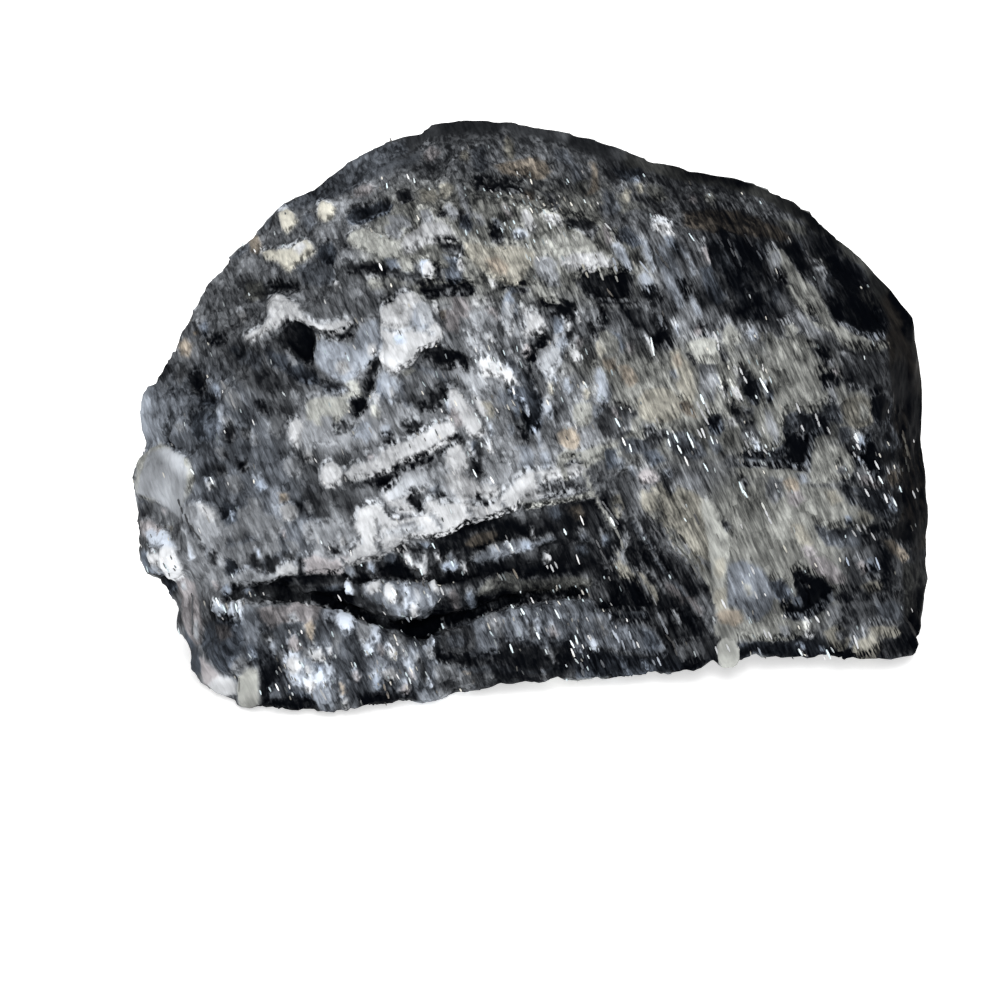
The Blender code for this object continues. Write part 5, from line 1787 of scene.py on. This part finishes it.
def stone_finish():
    n = Nodes("schorl_with_mica")
    where = n.add("ShaderNodeTexCoord").outputs["Object"]
    calm, fibrous, crisp = n.attribute("calm"), n.attribute("fibrous"), n.attribute("crisp")
    # each needle takes the look up the grain or the look down it
    pick = n.mix(fibrous, grain_noise(n, where, PICK_GRAINS), grain_noise(n, where, PICK_NEEDLES))
    pick = n.math("MULTIPLY_ADD", pick, 6.0, -2.5, clamp=True)
    shade = n.mix(pick, n.attribute("shade_up"), n.attribute("shade_down"))
    # streaks and grains, from about -0.3 to 0.3
    fine = grain_noise(n, where, FINE)
    thread = n.math("SUBTRACT", grain_noise(n, where, THREAD, 3.0), 0.5)
    small = n.math("SUBTRACT", beads(n, where, SMALL_BEADS), BEAD_MEAN)
    large = n.math("SUBTRACT", beads(n, where, LARGE_BEADS), BEAD_MEAN)
    streak = n.math("MULTIPLY", n.math("SUBTRACT", fine, 0.5), n.math("MULTIPLY", crisp, 0.42))
    grain = n.math("MULTIPLY_ADD", thread, 0.5, n.math("MULTIPLY", small, 0.26))
    grain = n.mix(fibrous, grain, thread)
    streak = n.math("MULTIPLY_ADD", grain, n.math("MULTIPLY_ADD", crisp, 0.5, 0.5), streak)
    streak = n.math("MULTIPLY_ADD", large, 0.2, streak)
    # they show most in the middle greys, and least where the stone is worn
    middling = n.math("MULTIPLY", shade, n.math("SUBTRACT", 1.0, shade))
    lively = n.math("MULTIPLY", n.math("MULTIPLY_ADD", calm, -0.8, 1.0),
                    n.math("MULTIPLY_ADD", middling, 3.2, 0.25))
    lightness = n.math("MULTIPLY_ADD", streak, lively, shade, clamp=True)
    lightness = n.math("MAXIMUM", lightness, n.math("MULTIPLY", shade, 0.4))
    # from lightness to colour, shine and bumps
    grey = n.math("MULTIPLY", n.math("POWER", lightness, 2.2), PALEST)
    colour = n.vector_math("MULTIPLY", n.attribute("tint", "Color"), grey)
    n.put(n.shader.inputs["Base Color"], n.vector_math("ADD", colour, SCHORL))
    rough = n.math("MULTIPLY_ADD", small, 0.2, n.math("MULTIPLY_ADD", lightness, 0.2, 0.55))
    n.put(n.shader.inputs["Roughness"], rough)
    n.shader.inputs["Specular IOR Level"].default_value = 0.01
    height = n.math("ADD", n.math("MULTIPLY", fine, 0.5), n.math("MULTIPLY", small, 0.5))
    height = n.math("MULTIPLY", height, lively)
    bump = n.add("ShaderNodeBump", {"Strength": 0.6, "Distance": 0.12 * MM, "Height": height})
    n.put(n.shader.inputs["Normal"], bump.outputs[0])
    return n.material


stone.data.materials.clear()
stone.data.materials.append(stone_finish())
print("stone finish:", stone.data.materials[0].name)

# %% [markdown]
# ## Mica flakes
# The glitter is mica: thin six-sided plates, a millimetre or less, lying along the grain and
# catching the light; the brightest are also coloured near white, as painted glints. One plate is
# modelled, then copied a thousand times into three meshes.
# Instances would be lighter, but a finished part needs real faces.

# %% Model one plate
PLATE_LENGTH, PLATE_WIDTH, PLATE_THICKNESS = 0.9, 0.24, 0.10  # in mm
PLATE_TOP = 0.86  # its upper face, as a share of the lower

bpy.ops.object.select_all(action="DESELECT")
bpy.ops.mesh.primitive_circle_add(vertices=6, radius=0.5, fill_type="NGON")
plate = bpy.context.object
bpy.ops.object.mode_set(mode="EDIT")
bpy.ops.transform.resize(value=(PLATE_LENGTH, PLATE_WIDTH, 1.0))
bpy.ops.mesh.extrude_region_move(TRANSFORM_OT_translate={"value": (0, 0, PLATE_THICKNESS)})
bpy.ops.transform.resize(value=(PLATE_TOP, PLATE_TOP, 1.0))
bpy.ops.mesh.select_all(action="SELECT")
bpy.ops.transform.translate(value=(0, 0, -PLATE_THICKNESS))
bpy.ops.mesh.normals_make_consistent(inside=False)
bpy.ops.object.mode_set(mode="OBJECT")
plate_points = read(plate.data, "co")
plate_faces = sorted(tuple(p.vertices) for p in plate.data.polygons)  # in one order each time
bpy.data.objects.remove(plate)
print("faces of one plate:", len(plate_faces))

# %% [markdown]
# ## Where the mica lies
# The brightest flakes have their own places, and are coloured near white as painted glints. The
# rest are scattered: thick in the glittering fields, thin elsewhere, and few on the smooth rims. A
# seeded draw gives the same scatter each time.

# %% The bright flakes
GLINTS = (  # chart place, length in mm
    (388, 187, 0.9), (408, 178, 0.9), (415, 182, 0.9), (380, 268, 0.9), (692, 238, 1.2),
    (652, 346, 2.2), (764, 385, 2), (193, 472, 0.9), (212, 481, 0.9), (144, 450, 0.9),
    (395, 592, 1), (340, 598, 0.9), (410, 561, 1.3), (422, 569, 1.3), (452, 564, 0.9),
    (511, 547, 1), (578, 560, 1.2), (582, 521, 1.2), (612, 521, 1.2), (565, 532, 0.8),
    (433, 545, 1), (618, 421, 1.2), (624, 442, 1.2), (630, 448, 1), (513, 392, 1), (475, 472, 1),
    (492, 480, 0.9), (557, 614, 1.2), (533, 601, 1.1), (513, 607, 0.9), (523, 613, 1.1),
    (572, 643, 1), (576, 640, 1), (573, 652, 1.1), (512, 648, 1.1), (538, 636, 1.1),
    (443, 627, 1.1), (277, 688, 0.9), (702, 400, 1.2), (690, 436, 1.2), (691, 443, 1.2),
    (677, 437, 1.2), (668, 441, 1.1), (679, 450, 1.1), (712, 440, 1), (687, 461, 1.2),
    (706, 466, 1.1), (742, 488, 1.4), (745, 493, 1.1), (856, 436, 1.4), (880, 479, 1.1),
    (894, 502, 1.2), (900, 488, 1), (823, 654, 1.2), (827, 656, 1.2), (800, 651, 1),
    (218, 603, 1.1), (225, 608, 1), (237, 607, 1.1),
)
print("bright flakes:", len(GLINTS))

# %% The triangles of the skin
def triangles_of(mesh):
    """Corner points, middle, face normal and area (square mm) of each triangle, in mm."""
    mesh.calc_loop_triangles()
    corners = np.empty(len(mesh.loop_triangles) * 3, np.int32)
    mesh.loop_triangles.foreach_get("vertices", corners)
    corners = corners.reshape(-1, 3)
    spots = to_face(read(mesh, "co"))[corners]
    cross = np.cross(spots[:, 1] - spots[:, 0], spots[:, 2] - spots[:, 0])
    area = np.linalg.norm(cross, axis=1) / 2
    return corners, spots.mean(1), cross / np.maximum(2 * area, TINY)[:, None], area


corners, middles, facing, area = triangles_of(stone.data)
middle_places = chart_places(middles)
front = facing[:, 2] > 0.25
print("area of the front in square mm:", area[front].sum().round())

# %% The glittering fields and the scatter
FIELDS = (  # chart place, reach, flakes to the square mm
    (400, 597, 38, 1.0), (300, 668, 40, 0.8), (390, 655, 45, 0.8), (165, 555, 30, 0.6),
    (240, 605, 28, 0.6), (560, 630, 75, 0.6), (740, 380, 40, 0.5), (695, 430, 30, 0.6),
    (755, 445, 25, 0.6), (870, 475, 40, 0.35), (530, 215, 60, 1.0), (470, 400, 60, 0.5),
    (600, 400, 60, 0.4), (345, 380, 50, 0.3), (780, 620, 60, 0.3),
)
SCATTER = 0.08  # flakes to the square mm over the rest of the front
BACK_SCATTER = 0.5  # and in the fields of the sides and back
FOOT_HEIGHT = 0.4  # none lie lower than this, in mm
DRAW_SEED = 7

back_fields = smooth(0.0, 0.5, drift(middles, (9.0, 6.0, 6.0), 53.0))
rate = np.where(front, SCATTER, BACK_SCATTER * back_fields * (facing[:, 2] < 0.1))
for x, y, reach, per_mm in FIELDS:
    gap = np.hypot(*(middle_places - (x, y)).T) / reach
    rate = rate + front * per_mm * (1.0 - smooth(0.5, 1.2, gap))
rate *= (1.0 - 0.95 * calm[corners].mean(1)) * (0.35 + 1.3 * shade[corners].mean(1))
rate *= (middles @ FACE_AXES + FACE_MIDDLE)[:, 2] > FOOT_HEIGHT
draw = np.random.default_rng(DRAW_SEED)
chosen = np.flatnonzero(draw.random(len(area)) < rate * area)
print("scattered flakes:", len(chosen), "of them in front:", int(front[chosen].sum()))

# %% A way to lay flakes
FLAKE_LIFT = 0.06  # how far a flake's face stands above the stone, in mm


def unit(vectors):
    return vectors / np.linalg.norm(vectors, axis=1)[:, None]


def lay_flakes(name, middles, facing, lengths, widths, colours, along=None):
    """One mesh of plates: face places, the way each looks, sizes and colours."""
    count = len(middles)
    if along is None:
        along = np.tile(GRAIN, (count, 1)) + draw.normal(0.0, 0.10, (count, 3))
    along = unit(along - (along * facing).sum(1)[:, None] * facing)
    side = np.cross(facing, along)
    scale = np.stack((lengths / PLATE_LENGTH, widths / PLATE_WIDTH, np.ones(count)), axis=1)
    local = plate_points[None] * scale[:, None]
    turned = (local[:, :, :1] * along[:, None] + local[:, :, 1:2] * side[:, None]
              + local[:, :, 2:] * facing[:, None])
    spots = (middles[:, None] + FLAKE_LIFT * facing[:, None] + turned).reshape(-1, 3)
    spots = (spots @ FACE_AXES + FACE_MIDDLE) * MM
    spots[:, 2] = np.maximum(spots[:, 2], 0.0)
    step = len(plate_points)
    faces = [tuple(i + step * k for i in face) for k in range(count) for face in plate_faces]
    mesh = bpy.data.meshes.new(name)
    mesh.from_pydata(spots.tolist(), [], faces)
    colours = np.hstack((np.minimum(colours, 1.0), np.ones((count, 1))))
    keep(mesh, "flake", "FLOAT_COLOR", "color", np.repeat(colours, step, axis=0))
    flakes = bpy.data.objects.new(name, mesh)
    bpy.context.scene.collection.objects.link(flakes)
    print(name, "flakes:", count, "triangles:", sum(len(f) - 2 for f in faces))
    return flakes


def nearest_triangle(place):
    """The front triangle nearest a chart place."""
    gap = np.hypot(*(middle_places - place).T) + 1e3 * ~front
    return int(np.argmin(gap))


print("the first bright flake lies on triangle", nearest_triangle(GLINTS[0][:2]))

# %% Lay the flakes in front
FLAKE_HUES = np.array(((1.0, 1.0, 1.0), (0.88, 0.97, 1.0), (0.80, 0.95, 1.0), (1.0, 0.97, 0.88)))
TO_EYE = unit(np.array([[0.0, 0.10, 1.0]]))  # a little above straight out, as the light is
BRIGHT_LIFT = (0, 0, 0.12)  # the bright flakes stand clear of the splinters round them, in mm

bright = np.array([nearest_triangle((x, y)) for x, y, length in GLINTS])
bright_length = np.array([length for x, y, length in GLINTS])
shown = chosen[front[chosen]]
hidden = chosen[~front[chosen]]
bright_count, count = len(bright), len(shown)
# the bright flakes are pale mica, coloured near white as painted highlights: glints under any lamp
painted_glint_colours = draw.uniform(0.75, 0.98, (bright_count, 1))
painted_glint_colours = painted_glint_colours * FLAKE_HUES[draw.integers(0, 3, bright_count)]
front_facing = unit(0.35 * facing[shown] + TO_EYE + draw.normal(0.0, 0.12, (count, 3)))
front_light = draw.uniform(0.2, 0.9, count) ** 2.2
front_hues = FLAKE_HUES[draw.integers(0, 4, count)]
bright_facing = np.repeat(TO_EYE, bright_count, axis=0)
bright_facing = unit(bright_facing + draw.normal(0.0, 0.05, (bright_count, 3)))
front_flakes = lay_flakes(
    "mica_flakes_and_glints_front",
    np.vstack((middles[bright] + BRIGHT_LIFT, middles[shown])),
    np.vstack((bright_facing, front_facing)),
    np.concatenate((bright_length, draw.uniform(0.4, 0.9, count))),
    np.concatenate((draw.uniform(0.16, 0.26, bright_count), draw.uniform(0.10, 0.20, count))),
    np.vstack((painted_glint_colours, front_hues * front_light[:, None])),
)

# %% Lay the slivers
# the white slivers are painted glints; the grey and dark ones are needles of schorl and mica
SLIVER_PIECE = 9.0  # how long one piece of a sliver may be, on the chart
SLIVER_LIFT = (0, 0, 0.08)  # in mm
SLIVER_OVERLAP, SLIVER_WIDTH = 1.3, 1.6  # a piece's length and width, to its step and half width


def slivers():
    """Every thin stroke as a row of pieces: chart place, step along it, half width, colour."""
    for strokes in STROKES.values():
        for lightness, hue, half_width, path in strokes:
            if 0 < half_width < THIN:
                for start, end in zip(path, path[1:]):
                    pieces = max(1, round(float(np.hypot(*(end - start))) / SLIVER_PIECE))
                    for k in range(pieces):
                        place = start + (end - start) * (k + 0.5) / pieces
                        yield place, (end - start) / pieces, half_width, hue * 0.6 * lightness**2.2


pieces = list(slivers())
rest = np.array([nearest_triangle(piece[0]) for piece in pieces])
steps = np.array([(x, -y, 0.0) for x, y in (piece[1] for piece in pieces)]) / CHART_RULE
sliver_flakes = lay_flakes(
    "schorl_mica_and_glint_slivers", middles[rest] + SLIVER_LIFT, unit(0.6 * facing[rest] + TO_EYE),
    SLIVER_OVERLAP * np.linalg.norm(steps, axis=1),
    np.array([SLIVER_WIDTH * piece[2] for piece in pieces]) / CHART_RULE,
    np.array([piece[3] for piece in pieces]), unit(steps),
)

# %% Lay the flakes at the sides and back
count = len(hidden)
back_flakes = lay_flakes(
    "mica_flakes_back", middles[hidden], unit(facing[hidden] + draw.normal(0.0, 0.2, (count, 3))),
    draw.uniform(0.4, 1.0, count), draw.uniform(0.12, 0.22, count),
    draw.uniform(0.2, 0.9, (count, 1)) ** 1.8 * FLAKE_HUES[draw.integers(0, 4, count)],
)

# %% [markdown]
# ## The mica's finish
# Mica is pearly: each flake has one plain tone of its own, near white on those that paint glints, a
# little dusty in streaks, and a soft shine. A metal would glare and a glass would show the stone
# through, so it is a satin surface.

# %% Make the mica's material
def mica_finish():
    n = Nodes("mica")
    where = n.add("ShaderNodeTexCoord").outputs["Object"]
    dust = grain_noise(n, where, (0.5, 0.2, 0.3))
    fade = n.math("MULTIPLY_ADD", dust, 0.5, 0.72)
    colour = n.vector_math("MULTIPLY", n.attribute("flake", "Color"), fade)
    n.put(n.shader.inputs["Base Color"], colour)
    n.put(n.shader.inputs["Roughness"], n.math("MULTIPLY_ADD", dust, 0.3, 0.3))
    n.shader.inputs["Specular IOR Level"].default_value = 0.3
    return n.material


mica = mica_finish()
for flakes in (front_flakes, sliver_flakes, back_flakes):
    flakes.data.materials.append(mica)
print("mica finish:", mica.name)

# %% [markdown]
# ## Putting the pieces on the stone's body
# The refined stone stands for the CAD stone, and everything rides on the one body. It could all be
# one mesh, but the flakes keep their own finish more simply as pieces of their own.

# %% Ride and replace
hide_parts("black_tourmaline")
for piece in (stone, front_flakes, sliver_flakes, back_flakes):
    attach(piece, "root")
    print(piece.name, "rides on root")

# %% [markdown]
# ## Floor, light and camera
# A pale floor and soft light from beside the camera, much as a ring light gives, so the cracks stay
# black and the flakes that face the camera shine. The floor glows a little itself, which keeps it
# plain and pale behind the dark stone without a stronger lamp.

# %% The floor
FLOOR_SIDE = 6.0  # in metres
FLOOR_GLOW = 0.62

bpy.ops.object.select_all(action="DESELECT")
bpy.ops.mesh.primitive_plane_add(size=FLOOR_SIDE, location=(0, 0, 0))
floor = bpy.context.object
floor.name = "studio_floor"
floor_finish = Nodes("pale_floor")
for socket, value in (
    ("Base Color", (0.93, 0.93, 0.93, 1.0)), ("Roughness", 0.9), ("Specular IOR Level", 0.1),
    ("Emission Color", (1.0, 1.0, 1.0, 1.0)), ("Emission Strength", FLOOR_GLOW),
):
    floor_finish.shader.inputs[socket].default_value = value
floor.data.materials.append(floor_finish.material)
print("floor finish:", floor_finish.material.name)

# %% The camera
LENS, SENSOR = 216.0, 36.0  # in mm: a long lens, from 0.6 m away
NEAREST = 0.01  # the camera sees from here on, in metres


def to_world(face_point):
    return Vector((np.array(face_point) @ FACE_AXES + FACE_MIDDLE) * MM)


bpy.ops.object.camera_add(location=to_world(EYE))
camera = bpy.context.object
camera.name = "camera"
camera.rotation_euler = Matrix(FACE_AXES.T.tolist()).to_euler()
camera.data.lens = LENS
camera.data.sensor_width = SENSOR
camera.data.clip_start = NEAREST
bpy.context.scene.camera = camera
print("camera stands at", [round(v, 3) for v in camera.location])

# %% The lights
ROOM_LIGHT = 0.20


def soft_light(name, place, aim, side, power):
    """A square area light at a place in metres, turned to look at another."""
    bpy.ops.object.light_add(type="AREA", location=place)
    light = bpy.context.object
    light.name = name
    light.data.size = side
    light.data.energy = power
    light.rotation_euler = (Vector(aim) - Vector(place)).to_track_quat("-Z", "Y").to_euler()
    print(name, "of", power, "W")


soft_light("ring_key", to_world((0.0, 120.0, 640.0)), (0.0, 0.0, 0.02), side=0.22, power=3.2)
soft_light("top_fill", (0.0, 0.5, 1.6), (0.0, 0.35, 0.0), side=1.6, power=22.0)
world = bpy.data.worlds.new("studio")
bpy.context.scene.world = world
world.use_nodes = True
world.node_tree.nodes["Background"].inputs["Color"].default_value = (1.0, 1.0, 1.0, 1.0)
world.node_tree.nodes["Background"].inputs["Strength"].default_value = ROOM_LIGHT
bpy.context.scene.view_settings.view_transform = "Standard"
